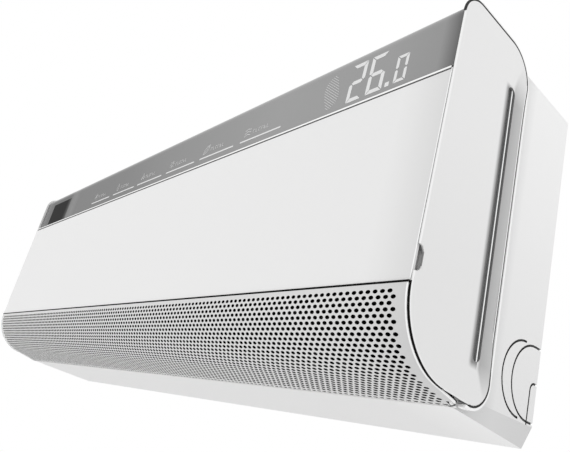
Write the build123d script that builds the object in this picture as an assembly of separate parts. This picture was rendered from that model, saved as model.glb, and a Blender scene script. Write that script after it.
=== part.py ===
from build123d import *
import os
from math import atan2, cos, degrees, hypot, radians, sin, tan

# A wall-hung mini split indoor unit. Millimetres: +X to the end with the motor, the wall at Y = 0, the front
# towards -Y, +Z up. Heights are measured from the casing's lower rear edge, and the pieces are lowered last
# so that the origin is the middle of the wall plate's four screw holes.

seat = 0.3  # clearance where two pieces rest against each other
beyond = 500.0  # reach of cuts and masks that pass every face
small_sides = 8  # small pins and their seats are drawn with flat sides

# Casing
case_half = 468.5  # half of the width over the side walls
case_top = 320.0  # height of the flat top
case_wall = 2.5
side_wall = 3.0
belly_front_y, belly_front_z = -112.2, 9.0  # front edge of the rising underside
edge_facet_height, edge_facet_depth = 19.0, 7.5  # slanted facet low on each side
front_setback = 6.5  # the side walls end this far behind the caps' outline
front_bar_y = -172.0  # front edge of the flat top

# End caps: a D-shaped plate on each side, proud of the casing
shoulder_rise = 4.5
cap_top = case_top + shoulder_rise
cap_front_top_y, cap_front_foot_y = -192.3, -196.0
cap_rear_top_y, cap_rear_foot_y = -92.6, -85.2
cap_foot_front_z, cap_foot_rear_z = 21.0, 11.2
cap_nose_radius, cap_shoulder_radius = 20.0, 32.0
cap_heel_radius, cap_toe_radius = 20.0, 60.0
cap_proud, cap_plate = 7.0, 1.6
cap_edge_bevel = 0.6
cap_gap = 1.1  # groove between the cap and its rim
rim_width, rim_proud = 2.5, 6.6

# Long slot in each cap with the grille behind it, slanted rear flank and finger notch
slot_top_y, slot_top_z = -114.8, cap_top - 41.5
slot_foot_y, slot_foot_z = -108.2, 45.0
slot_width = 10.5
slot_grille_back = 1.2
slot_rib, slot_rib_shift = 1.6, 2.3
flank_inset, flank_depth, flank_fade = 0.7, 2.4, 40.0  # it starts this far behind the slot
flank_top, flank_foot = cap_top - 20.5, 36.0
notch_top, notch_foot, notch_depth = 104.0, 84.0, 6.0

# Front panel, hinged at its top, and the display band that it carries
panel_top, panel_foot = case_top - 71.0, 76.6
panel_skin, panel_gap, panel_bevel = 2.5, 0.8, 2.4
band_setback = 2.8  # the band lies behind the panel's face
band_lip_angle = 120.0  # the band's rounded top ends here, counted from the rear
hinge_y, hinge_z = cap_front_top_y + 12.0, case_top - 9.5
pin_radius, pin_fit, pin_boss = 1.8, 0.05, 3.2
lip_sweep, hinge_boss = 9.5, 4.0  # the band's lip passes this near the hinge axis, round the side wall's boss
end_rib, end_rib_gap, end_rib_depth = 3.0, 4.5, 8.0
stiffener_depth, stiffener_height, stiffener_inset = 6.0, 6.0, 12.0
window_left, window_width = -case_half + 37.5, 86.0
window_foot, window_height = panel_top + 3.0, 47.0
display_left, display_end, display_height = -285.0, 30.0, 48.0

# Deflector over the air outlet
deflector_top = panel_foot - 1.2
deflector_wall = 2.2
deflector_slope = -0.22  # the flat run behind the round, rise per length
lip_y, lip_radius = belly_front_y - 4.1, 3.0
corner_radius = 12.0
bearing_notch, bearing_boss, bearing_room = 5.6, 3.0, 0.6
frame_rib_depth, frame_bar = 7.0, 5.0
frame_bar_angles = (188.0, 226.0)

# Fan and air duct
fan_y, fan_z, fan_radius = -84.0, 152.0, 46.0
fan_blades, fan_sections = 15, 2
blade_chord, blade_thickness, blade_lean, blade_bow = 12.0, 1.2, 62.0, 0.85
fan_disc, fan_end_gap = 1.6, 6.0
duct_left, duct_right = -case_half + 32.5, case_half - 112.5
duct_wall, scroll_wall = 2.5, 2.2
scroll_y, scroll_z, scroll_radius = fan_y + 5.0, fan_z - 2.0, fan_radius + 4.0
scroll_start, scroll_end = 62.0, -35.1
duct_floor_end_z = 19.5
end_wall_top = case_top - 108.4
rib_width, rib_front_y = 2.0, -36.0
shaft_radius, shaft_fit = 4.0, 0.05
bearing_radius, bearing_length = 11.0, 9.0

# Vanes in the duct
vane_count = 12
vane_margin = 38.0
vane_thickness, vane_height, vane_lift = 1.6, 62.0, 4.0
vane_along, vane_back = 32.0, 12.0  # in front of and behind the pivot
vane_pivot_run = 84.0  # the pivot's distance along the duct floor from the scroll
vane_pin, tie_pin = 2.0, 1.5
tie_reach, tie_half_width, tie_thickness, tie_lift, tie_slack = 18.0, 6.0, 2.0, 7.0, 0.4
rail_thickness, rail_half_width = 2.0, 7.0

# Back and wall plate
back_setback, back_wall = 6.0, 2.5
back_foot, back_top = 24.0, case_top - 20.0
plate_thickness = 1.5
plate_half, plate_foot, plate_top = 330.0, 96.0, case_top - 34.0
screw_spacing_x, screw_spacing_z, screw_hole = 450.0, 120.0, 2.75
plate_window_width, plate_window_height = 90.0, 60.0
hook_width, hook_reach, hook_thickness = 24.0, 4.0, 2.0

# Drain pan
pan_wall = 2.2
pan_front_y, pan_rear_y, pan_floor_z, pan_lip_z = -171.0, -131.0, 86.0, 104.0
pan_fall, pan_rear_lean = 8.0, 4.0  # the floor falls forwards, and the rear lip leans back
spout_radius, spout_bore, spout_socket = 8.0, 6.0, 25.0

# Heat exchanger: three slabs over the fan
coil_thickness, coil_margin, coil_headroom = 21.0, 12.0, 24.0
coil_left, coil_right = duct_left + coil_margin, duct_right - coil_margin
front_coil_y, front_coil_top = -157.0, case_top - 102.0
upper_coil_y, upper_coil_lean = -146.5, 35.4
rear_coil_y, rear_coil_lean = -24.0, 34.7
coil_plate = 1.2
tube_radius, bend_radius, bend_spacing = 3.5, 7.0, 34.0

# Filters, pulled out upwards
filter_y, filter_thickness, filter_fit = -165.5, 2.0, 0.5
filter_foot, filter_top = 112.0, case_top - 3.0
filter_left, filter_right, filter_gap = duct_left + 6.0, duct_right - 6.0, 12.0
filter_rib, filter_columns, filter_rows, filter_mesh = 4.0, 3, 2, 0.6
guide_wall, guide_grip = 2.0, 5.0
tab_width, tab_height = 60.0, 6.0
screw_head_radius, screw_head = 3.5, 2.4

# Motor, control box and steppers
motor_radius, motor_length, motor_gap, motor_bevel = 38.0, 52.0, 8.0, 4.0
clamp_thickness, clamp_width, clamp_foot = 3.0, 20.0, 8.0
box_left, box_right = duct_right + 10.0, case_half - 20.5
box_front_y, box_rear_y = -180.0, -131.0
box_foot, box_top, box_wall = 112.0, case_top - 30.0, 2.0
ear_foot, ear_top = 150.0, 250.0  # flange that carries the box from the back wall
board_thickness, board_stand = 1.6, 14.0
# components on the board: place along it, place up it as a share, width, height, depth
board_parts = ((16, 0.80, 20, 16, 18), (46, 0.72, 26, 22, 14), (64, 0.49, 14, 30, 10), (24, 0.44, 18, 12, 12))
terminal_width, terminal_depth, terminal_height, terminal_pitch = 52.0, 16.0, 20.0, 12.0
button_radius, button_travel, button_height, button_collar = 4.0, 2.0, 5.0, 1.2
button_x, button_z = box_left + 39.0, box_foot + 38.0
stepper_radius, stepper_length = 10.0, 12.0
stepper_offset = 10.0  # its axis lies this far behind and above the deflector's

# Pipes
gas_radius, liquid_radius = 4.76, 3.18
pipe_run_y = -20.0
gas_run_z, liquid_run_z, drain_run_z = 75.0, 56.0, 36.0
gas_drop_x, liquid_drop_x = coil_right + 20.0, coil_right + 32.0
gas_start, liquid_start = 6.0, 15.5  # above the rear slab's foot
pipe_bend, pipe_sides = 16.0, 8
pipe_end_x = duct_right - 206.0
union_length, union_wall, union_nut = 14.0, 1.6, 10.0

# Intake grille in the top
grille_half, grille_front_y, grille_rear_y = case_half - 22.5, -152.0, -18.0
grille_bars, grille_bar, grille_cross_bars, grille_cross = 7, 3.0, 3, 4.0
grille_depth, grille_frame = 6.0, 4.0

# Knock-outs in the side walls
knockout_radius, knockout_z = 33.5, 54.0
knockout_outer_y, knockout_inner_y = -25.5, -10.0
small_knockout_y, small_knockout_top, small_knockout_corner = -11.8, 56.0, 7.0
score_width, score_depth = 1.9, 1.5

plate_centre_z = (plate_foot + plate_top) / 2


def along_x(points, x0, x1, radius=0.0):
    """A closed Y-Z outline, its corners rounded, carried from x0 to x1."""
    return carried(make_face(FilletPolyline(*points, radius=radius, close=True)), x0, x1)


def carried(face, x0, x1):
    return extrude(Plane.YZ.offset(x0) * face, x1 - x0, dir=(1, 0, 0))


def block(x0, x1, y0, y1, z0, z1):
    return Pos((x0 + x1) / 2, (y0 + y1) / 2, (z0 + z1) / 2) * Box(x1 - x0, y1 - y0, z1 - z0)


def rod(x0, x1, y, z, radius):
    """A cylinder along X."""
    return Pos((x0 + x1) / 2, y, z) * Rot(0, 90, 0) * Cylinder(radius, x1 - x0)


def peg(radius):
    """Section of a small pin, its corners on the radius."""
    return RegularPolygon(radius, small_sides)


def peg_hole(radius):
    """Section of a small pin's seat, its flats on the radius."""
    return RegularPolygon(radius, small_sides, major_radius=False)


def pin(x0, x1, y, z):
    """A hinge pin along X."""
    return carried(Pos(y, z) * peg(pin_radius), x0, x1)


def pin_seat(x0, x1, y, z):
    return carried(Pos(y, z) * peg_hole(pin_radius + pin_fit), x0, x1)


def both_ends(right):
    """The mirror image of a piece made for the right end."""
    return mirror(right, about=Plane.YZ)


def area(y0, y1, z0, z1):
    """A rectangle in the Y-Z plane."""
    return Pos((y0 + y1) / 2, (z0 + z1) / 2) * Rectangle(y1 - y0, z1 - z0)


def cap_outline(grow=0.0):
    """The D-shaped side outline as a face in the Y-Z plane, grown or shrunk all round."""
    corners = [
        (cap_front_top_y, cap_top),
        (cap_rear_top_y, cap_top),
        (cap_rear_foot_y, cap_foot_rear_z),
        (cap_front_foot_y, cap_foot_front_z),
    ]
    radii = [cap_nose_radius, cap_shoulder_radius, cap_heel_radius, cap_toe_radius]
    face = make_face(FilletPolyline(*corners, radius=radii, close=True))
    return offset(face, grow, kind=Kind.ARC) if grow else face


def skin_face(grow, thickness):
    """A thin ring that follows the caps' outline."""
    return cap_outline(grow) - cap_outline(grow - thickness)


def front_y(z):
    """Where the front line of the caps and the panel lies at a height."""
    share = (z - cap_foot_front_z) / (cap_top - cap_foot_front_z)
    return cap_front_foot_y + share * (cap_front_top_y - cap_front_foot_y)


def belly_z(y):
    """Height of the underside at a depth."""
    return belly_front_z * y / belly_front_y


# The caps' rounds, found from their corners
nose_y, nose_z = cap_front_top_y + cap_nose_radius, cap_top - cap_nose_radius
toe_slope = (cap_foot_front_z - cap_foot_rear_z) / (cap_front_foot_y - cap_rear_foot_y)
toe_y = cap_front_foot_y + cap_toe_radius
toe_z = cap_foot_front_z + cap_toe_radius * (toe_slope + hypot(1, toe_slope))
run_length = hypot(1, deflector_slope)
run_y, run_z = toe_y + cap_toe_radius * deflector_slope / run_length, toe_z - cap_toe_radius / run_length
lip_z = run_z + deflector_slope * (lip_y - run_y) + lip_radius * run_length
moving_end = case_half + cap_proud - cap_plate - panel_gap
rib_outer = case_half - side_wall - end_rib_gap

# The duct's floor: a frame with one axis down the air stream and one across it
scroll_end_y = scroll_y + scroll_radius * cos(radians(scroll_end))
scroll_end_z = scroll_z + scroll_radius * sin(radians(scroll_end))
stream_y, stream_z = sin(radians(scroll_end)), -cos(radians(scroll_end))
floor_length = (scroll_end_z - duct_floor_end_z) / -stream_z
vane_pitch = (duct_right - duct_left - 2 * vane_margin) / (vane_count - 1)
vane_places = [duct_left + vane_margin + i * vane_pitch for i in range(vane_count)]


def floor_point(along, across):
    """A Y-Z point, given along the duct floor from the scroll and up from it."""
    y = scroll_end_y + along * stream_y + across * stream_z
    z = scroll_end_z + along * stream_z - across * stream_y
    return y, z


def on_floor(shape):
    """Places a shape, drawn with Y up the stream and Z off the floor, at the vanes' pivots."""
    y, z = floor_point(vane_pivot_run, 0)
    return Plane(origin=(0, y, z), x_dir=(1, 0, 0), z_dir=(0, stream_z, -stream_y)) * shape


def casing():
    """Side walls, flat top and rising underside, open at the front and the back."""
    corners = [(0, 0), (belly_front_y, belly_front_z), (belly_front_y, case_top), (0, case_top)]
    box_face = make_face(Polyline(*corners, close=True))
    inner_half = case_half - side_wall
    right_wall = carried(side_wall_face(box_face), inner_half, case_half)
    lift = case_wall
    reach = belly_front_y - beyond
    hollow = [(1, belly_z(1) + lift), (reach, belly_z(reach) + lift), (reach, case_top - lift),
              (1, case_top - lift)]
    room = along_x(hollow, -inner_half, inner_half)
    room -= edge_facet(case_wall) + both_ends(edge_facet(case_wall))
    body = carried(box_face, -case_half, case_half) + right_wall + both_ends(right_wall) - room
    body += block(-inner_half, inner_half, front_bar_y, belly_front_y, case_top - case_wall, case_top)
    body -= block(-grille_half, grille_half, grille_front_y, grille_rear_y, case_top - 2 * case_wall,
                  case_top + 1)
    slot = filter_thickness / 2 + filter_fit
    for x0, x1 in filter_spans():
        body -= block(x0 - filter_fit, x1 + filter_fit, filter_y - slot, filter_y + slot, filter_foot,
                      case_top + 1)
    body -= edge_facet(0) + both_ends(edge_facet(0)) + knockout_scores() + open_knockout()
    for y, z in ((hinge_y, hinge_z), (lip_y, lip_z)):
        body -= pin_seat(-case_half - 1, case_half + 1, y, z)
    return body


def side_wall_face(box_face):
    """The side wall's outline: box, D under the cap, raised shoulder and the deflector's bearing."""
    behind = area(nose_y, 0, belly_front_z, 2 * case_top) - area(nose_y, belly_front_y, belly_front_z,
                                                                 case_top / 2)
    shoulder = cap_outline(cap_gap + rim_width) & behind
    bearing = Pos(lip_y, lip_z) * Circle(bearing_boss)
    web = Polyline((lip_y, lip_z + bearing_boss), (lip_y, lip_z - bearing_boss + 0.2),
                   (belly_front_y, belly_front_z), (belly_front_y, lip_z + 3 * bearing_boss), close=True)
    sweep_room = Pos(hinge_y, hinge_z) * (Circle(lip_sweep) - Circle(hinge_boss))
    sweep_room -= area(hinge_y, beyond, -beyond, hinge_z + 1)
    nose = cap_outline(-front_setback) - sweep_room
    return box_face + nose + shoulder + bearing + make_face(web)


def edge_facet(lift):
    """Wedge taken off the right lower side edge. Lifted, it is the parallel one inside the wall."""
    x = case_half - (side_wall if lift else 0)
    foot_x, out_x = x - edge_facet_depth, x + side_wall + 6
    section = Polyline((x, edge_facet_height), (foot_x, -1), (foot_x, -5), (out_x, -5),
                       (out_x, edge_facet_height),
                       close=True)
    wedge = extrude(Plane.XZ.offset(-5) * make_face(section), 5 - belly_front_y, dir=(0, -1, 0))
    return Pos(0, 0, lift) * wedge


def knockout_scores():
    """Grooves in the right side wall round three knock-outs that share its rear edge."""
    outer = knockout_face(knockout_outer_y, knockout_radius)
    outer -= knockout_face(knockout_outer_y, knockout_radius - score_width)
    inner = knockout_face(knockout_inner_y, knockout_radius)
    inner -= knockout_face(knockout_inner_y, knockout_radius - score_width)
    foot = edge_facet_height - small_knockout_corner
    corners = [(2, small_knockout_top), (small_knockout_y, small_knockout_top), (small_knockout_y, foot),
               (2, foot)]
    small = make_face(FilletPolyline(*corners, radius=[0, small_knockout_corner, 0, 0], close=True))
    small -= offset(small, -score_width, kind=Kind.ARC)
    lines = (outer & area(-beyond, knockout_outer_y, 0, beyond)) + inner + small
    lines = lines & area(-beyond, 1, edge_facet_height, beyond)
    return carried(lines, case_half - score_depth, case_half + 1)


def open_knockout():
    """The left side's knock-out, taken out for the connecting pipes."""
    hole = knockout_face(knockout_outer_y, knockout_radius) & area(-beyond, 1, edge_facet_height, beyond)
    return carried(hole, -case_half - 1, 1 - case_half + side_wall)


def knockout_face(y, radius):
    """A round front with a straight top and foot, run out through the wall's rear edge."""
    return Pos(y, knockout_z) * Circle(radius) + area(y, 1, knockout_z - radius, knockout_z + radius)


def end_cap():
    """The right cap: a plate on a smaller hidden body, with its slot, notch and slanted flank."""
    outer = case_half + cap_proud
    plate = carried(cap_outline(), outer - cap_plate, outer)
    plate = chamfer(plate.faces().sort_by(Axis.X)[-1].edges(), cap_edge_bevel)
    body = plate + along_x(hidden_points(), case_half + seat, outer - cap_plate)
    body -= carried(slot_face(slot_width), case_half, outer + 1)
    middle = (notch_top + notch_foot) / 2
    notch = Pos(front_y(middle), middle) * RectangleRounded(2 * notch_depth, notch_top - notch_foot,
                                                            notch_depth - 0.1)
    return body - carried(notch, case_half, outer + 1) - rear_flank(outer)


def hidden_points():
    """Plain outline of the cap's hidden body, inside the moving skins and the casing's shoulder."""
    front, rear = cap_front_top_y + front_setback, cap_rear_top_y - front_setback
    top = cap_top - front_setback
    toe = (cap_toe_radius - front_setback) * cos(radians(45))
    behind, below = hinge_y + lip_sweep + 2, hinge_z - lip_sweep - 2
    nose = [(front, below - 4), (behind, below), (behind, top)]
    shoulder = [(rear - cap_nose_radius, top), (rear, top - cap_nose_radius)]
    return [(front, toe_z)] + nose + shoulder + [(rear, toe_z - toe), (toe_y - toe, toe_z - toe)]


def rear_flank(outer):
    """What the slanted rear flank takes off the cap, thinning out towards both ends."""
    far = cap_rear_foot_y + 4
    lean = (slot_top_y - slot_foot_y) / (slot_top_z - slot_foot_z)
    ends = ((flank_foot, 0.06), (flank_foot + flank_fade, 1), (flank_top - flank_fade, 1), (flank_top, 0.06))
    sections = []
    for z, share in ends:
        start = slot_foot_y + lean * (z - slot_foot_z) + slot_width / 2 + flank_inset + 3 * (1 - share)
        rise = (far - start) / flank_depth
        lip = [(outer + 1, start - 0.2 * rise, z), (outer + 1, far, z)]
        corners = lip + [(outer - flank_depth * share, far, z), (outer, start, z)]
        sections.append(make_face(Polyline(*corners, close=True)))
    return loft(sections, ruled=True)


def slot_face(width):
    """The long slot in the Y-Z plane, leaning a little and with round ends."""
    across, rise = slot_top_y - slot_foot_y, slot_top_z - slot_foot_z
    middle = Pos((slot_top_y + slot_foot_y) / 2, (slot_top_z + slot_foot_z) / 2)
    return middle * Rot(0, 0, -degrees(atan2(across, rise))) * SlotOverall(hypot(across, rise), width,
                                                                           rotation=90)


def slot_grille():
    """Dark insert behind the right slot, with its long rib."""
    outer = case_half + cap_proud
    base = outer - cap_plate - slot_grille_back
    plain = slot_face(slot_width - 2 * seat)
    rib = Pos(slot_rib_shift, 0) * slot_face(slot_rib) & slot_face(slot_width - 2 * seat - 1)
    return carried(plain, case_half + seat, base) + carried(rib, base, outer - 0.9)


def cap_rim():
    """The raised light rim behind, above and below the right cap."""
    ring = skin_face(cap_gap + rim_width, rim_width)
    ring -= area(-beyond, nose_y, -beyond, beyond) + area(-beyond, belly_front_y + seat, -beyond,
                                                          case_top / 2)
    return carried(ring, case_half, case_half + rim_proud)


def front_panel():
    """The white panel: a skin on the caps' front line, its bevelled top edge and the ledge that closes it."""
    skin = carried(skin_face(0, panel_skin) & area(-beyond, toe_y, panel_foot, panel_top), -moving_end,
                   moving_end)
    y = front_y(panel_top)
    ledge = block(-moving_end, moving_end, y + 1, y + band_setback + panel_skin, panel_top - panel_skin,
                  panel_top)
    corner = [(y - 1, panel_top - panel_bevel), (y + panel_bevel * 0.7, panel_top + 1),
              (y - 1, panel_top + 1)]
    return skin + ledge - along_x(corner, -moving_end - 1, moving_end + 1)


def display_band():
    """The glossy band above the panel, rounded over the top edge, with the opening for its window."""
    angle = radians(band_lip_angle)
    lip = (nose_y + beyond * cos(angle), nose_z + beyond * sin(angle))
    foot = panel_top + seat
    zone = make_face(Polyline((-beyond, foot), (nose_y, foot), (nose_y, nose_z), lip, (-beyond, lip[1]),
                              close=True))
    band = carried(skin_face(-band_setback, panel_skin) & zone, -moving_end, moving_end)
    opening = block(window_left, window_left + window_width, -beyond, toe_y, window_foot,
                    window_foot + window_height)
    return band - opening


def sensor_window():
    zone = area(-beyond, toe_y, window_foot + seat, window_foot + window_height - seat)
    return carried(skin_face(-band_setback, panel_skin) & zone, window_left + seat,
                   window_left + window_width - seat)


def display_board():
    z = panel_top + band_setback
    y = front_y(z + display_height) + band_setback + panel_skin + seat
    return block(display_left, moving_end - display_end, y, y + board_thickness, z, z + display_height)


def panel_frame():
    """Liner behind the panel: two end ribs with hinge pins, and two long stiffeners."""
    back = band_setback + panel_skin + seat
    ring = skin_face(-back, end_rib_depth)
    rib = ring & area(-beyond, hinge_y + pin_boss, panel_foot + 4, hinge_z - 4)
    boss = Pos(hinge_y, hinge_z) * Circle(pin_boss)
    neck = make_face(Polyline((front_y(hinge_z) + back + 2, hinge_z - 14), (hinge_y, hinge_z - pin_boss),
                              (hinge_y, hinge_z + pin_boss), (front_y(hinge_z) + back + 3.4,
                                                              hinge_z), close=True))
    inside = Pos(nose_y, nose_z) * Circle(cap_nose_radius - back) + area(-beyond, beyond, -beyond, nose_z)
    end = carried(rib + boss + (neck & inside), rib_outer - end_rib, rib_outer)
    end += pin(rib_outer - 1, case_half - seat, hinge_y, hinge_z)
    body = end + both_ends(end)
    for z in (panel_foot + stiffener_inset, panel_top - stiffener_inset - stiffener_height):
        y = front_y(z + stiffener_height / 2) + panel_skin + seat
        body += block(-rib_outer, rib_outer, y, y + stiffener_depth, z, z + stiffener_height)
    return body


def deflector_profile(shrink, thickness):
    """Section of the deflector: the round of the caps' toe, then a flat run to the lip."""
    outer, inner = deflector_line(shrink), deflector_line(shrink + thickness)
    edges = [ThreePointArc(*outer[:3]), Line(*outer[2:]), Line(outer[3], inner[3]), Line(inner[3], inner[2]),
             ThreePointArc(inner[2], inner[1], inner[0]), Line(inner[0], outer[0])]
    return make_face(edges)


def deflector_line(inset):
    """Top, middle and end of the round, and the end of the run, this far inside the caps' outline."""
    radius = cap_toe_radius - inset
    top = (toe_y - (radius**2 - (deflector_top - toe_z) ** 2) ** 0.5, deflector_top)
    middle = (toe_y + radius * cos(radians(215)), toe_z + radius * sin(radians(215)))
    foot = (toe_y + radius * deflector_slope / run_length, toe_z - radius / run_length)
    end_y = lip_y + lip_radius * deflector_slope / run_length
    return top, middle, foot, (end_y, foot[1] + deflector_slope * (end_y - foot[0]))


def deflector_skin():
    """The curved outer skin with its rolled lip and rounded lower corners."""
    body = carried(deflector_profile(0, deflector_wall), -moving_end, moving_end)
    body += rod(-moving_end, moving_end, lip_y, lip_z, lip_radius)
    reach = lip_radius + 5
    foot = block(rib_outer - end_rib - seat, rib_outer + seat, lip_y - reach, lip_y + lip_radius + 1,
                 lip_z - pin_radius - pin_fit, deflector_top)
    cuts = corner_cut() + foot + rod(rib_outer, moving_end + 1, lip_y, lip_z, pin_radius + pin_fit)
    return body - cuts - both_ends(cuts)


def corner_cut():
    """Takes the right lower corner off the skin, round, and a slot where the casing's bearing stands."""
    x, y = moving_end - corner_radius, lip_y + lip_radius - corner_radius
    corner = area(x, moving_end + 1, y, lip_y + corner_radius) - Pos(x, y) * Circle(corner_radius)
    inner, outer = case_half - side_wall - bearing_room, case_half + bearing_room
    notch = block(inner, outer, lip_y - bearing_notch, beyond, -beyond, deflector_top)
    return extrude(corner, deflector_top) + notch


def deflector_frame():
    """Frame inside the skin: two end ribs with pivot pins, and two long bars."""
    gap = deflector_wall + seat
    rib = deflector_profile(gap, frame_rib_depth) & area(-beyond, lip_y - lip_radius, 0, deflector_top - 5)
    neck = Polyline((lip_y, lip_z), (lip_y, lip_z + 2.4), (lip_y - 8, lip_z + 9), (lip_y - 8, lip_z + 2),
                    close=True)
    end = carried(rib + make_face(neck), rib_outer - end_rib, rib_outer)
    end += pin(rib_outer - end_rib, case_half - seat, lip_y, lip_z)
    body = end + both_ends(end)
    for angle in frame_bar_angles:
        a = radians(angle)
        r = cap_toe_radius - gap - frame_bar / 2 - 0.1
        section = Pos(toe_y + r * cos(a), toe_z + r * sin(a)) * Rot(0, 0, angle) * Rectangle(frame_bar,
                                                                                             frame_bar / 2)
        body += carried(section, -rib_outer, rib_outer)
    return body


def scroll_face():
    """Section of the duct's rear wall: a round behind the fan that runs on as the duct floor."""
    turn = scroll_start - scroll_end
    inner = CenterArc((scroll_y, scroll_z), scroll_radius, scroll_end, turn)
    outer = CenterArc((scroll_y, scroll_z), scroll_radius + scroll_wall, scroll_end, turn)
    feet = [(a.X + floor_length * stream_y, a.Y + floor_length * stream_z) for a in (inner @ 0, outer @ 0)]
    return make_face([inner, Line(inner @ 0, feet[0]), Line(feet[0], feet[1]), Line(feet[1], outer @ 0),
                      outer,
                      Line(inner @ 1, outer @ 1)])


def rear_chassis():
    """Back wall, scroll, duct floor, ribs, and the end walls that carry the fan, the pan and the stepper."""
    half, rear = case_half - side_wall - seat, -back_setback - 1
    back = block(-half, half, -back_setback - back_wall, -back_setback, back_foot, back_top)
    body = back + carried(scroll_face(), duct_left - duct_wall, duct_right + duct_wall)
    for x in (duct_left - duct_wall, duct_right):
        body += along_x(end_wall_points(rear), x, x + duct_wall)
    for share in (0.2, 0.4, 0.6, 0.8):
        x = duct_left + share * (duct_right - duct_left) - rib_width / 2
        body += block(x, x + rib_width, scroll_y + scroll_radius, rear, scroll_z - 30, scroll_z + 20)
        body += block(x, x + rib_width, rib_front_y, rear, scroll_z + 30, end_wall_top)
    body += stepper_wall(rear)
    for x in (duct_left - duct_wall, duct_right):
        body -= rod(x - 1, x + duct_wall + 1, fan_y, fan_z, bearing_radius + seat)
    return body


def end_wall_points(rear):
    """Outline of the duct's end walls: round the stream, under the pan, and up behind the pan's rear lip."""
    step_y = pan_rear_y + pan_rear_lean + 2 * seat
    step_z = pan_floor_z + pan_fall - seat
    stream = [floor_point(0, -scroll_wall / 2), floor_point(floor_length, -scroll_wall / 2),
              floor_point(floor_length, 8)]
    pan = [(pan_front_y, pan_floor_z - 10), (pan_front_y, pan_floor_z - seat), (pan_rear_y, step_z),
           (step_y, step_z)]
    return [(rear, scroll_end_z + 12)] + stream + pan + [(step_y, end_wall_top), (rear, end_wall_top)]


def stepper_wall(rear):
    """Wall from the back towards the deflector's axis, which carries its stepper."""
    x = rib_outer - end_rib - 2 * seat - stepper_length
    y = lip_y + 4
    points = [(rear, back_foot + 2), (y, lip_z + 3), (y, lip_z + 20), (rear, back_foot + 36)]
    return along_x(points, x - duct_wall, x)


def vane_rail():
    """Strip on the duct floor with a seat for each vane's pin."""
    x0, x1 = vane_places[0] - 12, vane_places[-1] + 12
    strip = block(x0, x1, -rail_half_width, rail_half_width, seat, seat + rail_thickness)
    for x in vane_places:
        strip -= Pos(x, 0, 0) * extrude(peg_hole(vane_pin + pin_fit), 2 * rail_thickness)
    return on_floor(strip)


def vane(x):
    """One upright blade on its pivot pin, notched over the tie bar and joined to it by a short pin."""
    notch_side, notch_head = tie_reach - tie_half_width - 3, tie_lift + tie_thickness + 2
    outline = [
        (vane_back, vane_lift),
        (vane_back, vane_height - 14),
        (2, vane_height),
        (8 - vane_along, vane_height - 4),
        (-vane_along, vane_height - 14),
        (-vane_along, notch_head),
        (-notch_side, notch_head),
        (-notch_side, vane_lift),
    ]
    blade = extrude(Plane.YZ * make_face(Polyline(*outline, close=True)), vane_thickness / 2, both=True)
    pivot = Pos(0, 0, seat) * extrude(peg(vane_pin), vane_lift + 1 - seat)
    tie = Pos(0, -tie_reach, tie_lift) * extrude(RegularPolygon(tie_pin, small_sides // 2),
                                                 notch_head + 1 - tie_lift)
    return on_floor(Pos(x, 0, 0) * (blade + pivot + tie))


def tie_bar():
    """Flat bar that links the vanes, with one slot for each vane's tie pin."""
    y0, y1 = 2 - tie_reach - tie_half_width, tie_half_width - tie_reach
    bar = block(vane_places[0] - 8, vane_places[-1] + 8, y0, y1, tie_lift, tie_lift + tie_thickness)
    for x in vane_places:
        bar -= Pos(x, 1.7 - tie_reach, tie_lift) * Box(2 * (tie_pin + tie_slack), 2 * tie_pin + 4.2,
                                                       3 * tie_thickness)
    return on_floor(bar)


def cross_flow_fan():
    """Long drum of curved blades between thin discs."""
    x0, x1 = duct_left + fan_end_gap, duct_right - fan_end_gap
    blade = extrude(Plane.YZ.offset(x0) * fan_blade(), x1 - x0, dir=(1, 0, 0))
    blades = [Pos(0, fan_y, fan_z) * Rot(360 * k / fan_blades, 0, 0) * blade for k in range(fan_blades)]
    pitch = (x1 - x0 - fan_disc) / fan_sections
    starts = [x0 + k * pitch for k in range(fan_sections + 1)]
    discs = [rod(x, x + fan_disc, fan_y, fan_z, fan_radius) for x in starts]
    return discs[0].fuse(*discs[1:], *blades) - rod(x0, x1, fan_y, fan_z, shaft_radius)


def fan_blade():
    """Section of the first blade, in front of the axis: bowed in three flats, leaning forwards."""
    half = blade_chord / 2
    lower = [(-half, 0), (-half / 3, blade_bow), (half / 3, blade_bow), (half, 0)]
    upper = [(y, z + blade_thickness) for y, z in reversed(lower)]
    section = make_face(Polyline(*lower, *upper, close=True))
    return Pos(fan_radius - half, 0) * Rot(0, 0, blade_lean) * section


def fan_shaft():
    """Stub shafts: a short one in the left bearing, a long one to the motor."""
    x0, x1 = duct_left + fan_end_gap, duct_right - fan_end_gap
    left = rod(duct_left - duct_wall - bearing_length + 2, x0 + fan_disc, fan_y, fan_z, shaft_radius)
    right = rod(x1 - fan_disc, duct_right + duct_wall + motor_gap + 12, fan_y, fan_z, shaft_radius)
    return left, right


def fan_bearing():
    outer = duct_left - duct_wall - bearing_length
    bush = rod(outer, duct_left, fan_y, fan_z, bearing_radius)
    return bush - rod(outer - 1, duct_left + 1, fan_y, fan_z, shaft_radius + shaft_fit)


def fan_motor():
    x0 = duct_right + duct_wall + motor_gap
    body = rod(x0, x0 + motor_length, fan_y, fan_z, motor_radius)
    body = chamfer(body.faces().sort_by(Axis.X)[-1].edges(), motor_bevel)
    return body - rod(x0 - 1, x0 + 14, fan_y, fan_z, shaft_radius + shaft_fit)


def motor_clamp():
    """Faceted strap round the motor with two feet on the back wall."""
    x0 = duct_right + duct_wall + motor_gap + (motor_length - clamp_width) / 2
    x1 = x0 + clamp_width
    ring = Pos(fan_y, fan_z) * RegularPolygon(motor_radius + seat + clamp_thickness, 8, major_radius=False)
    strap = carried(ring, x0, x1)
    for z in (fan_z + motor_radius - clamp_foot, fan_z - motor_radius):
        strap += block(x0, x1, fan_y + 8, -back_setback - back_wall - seat, z, z + clamp_foot)
    return strap - rod(x0 - 1, x1 + 1, fan_y, fan_z, motor_radius + seat)


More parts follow.
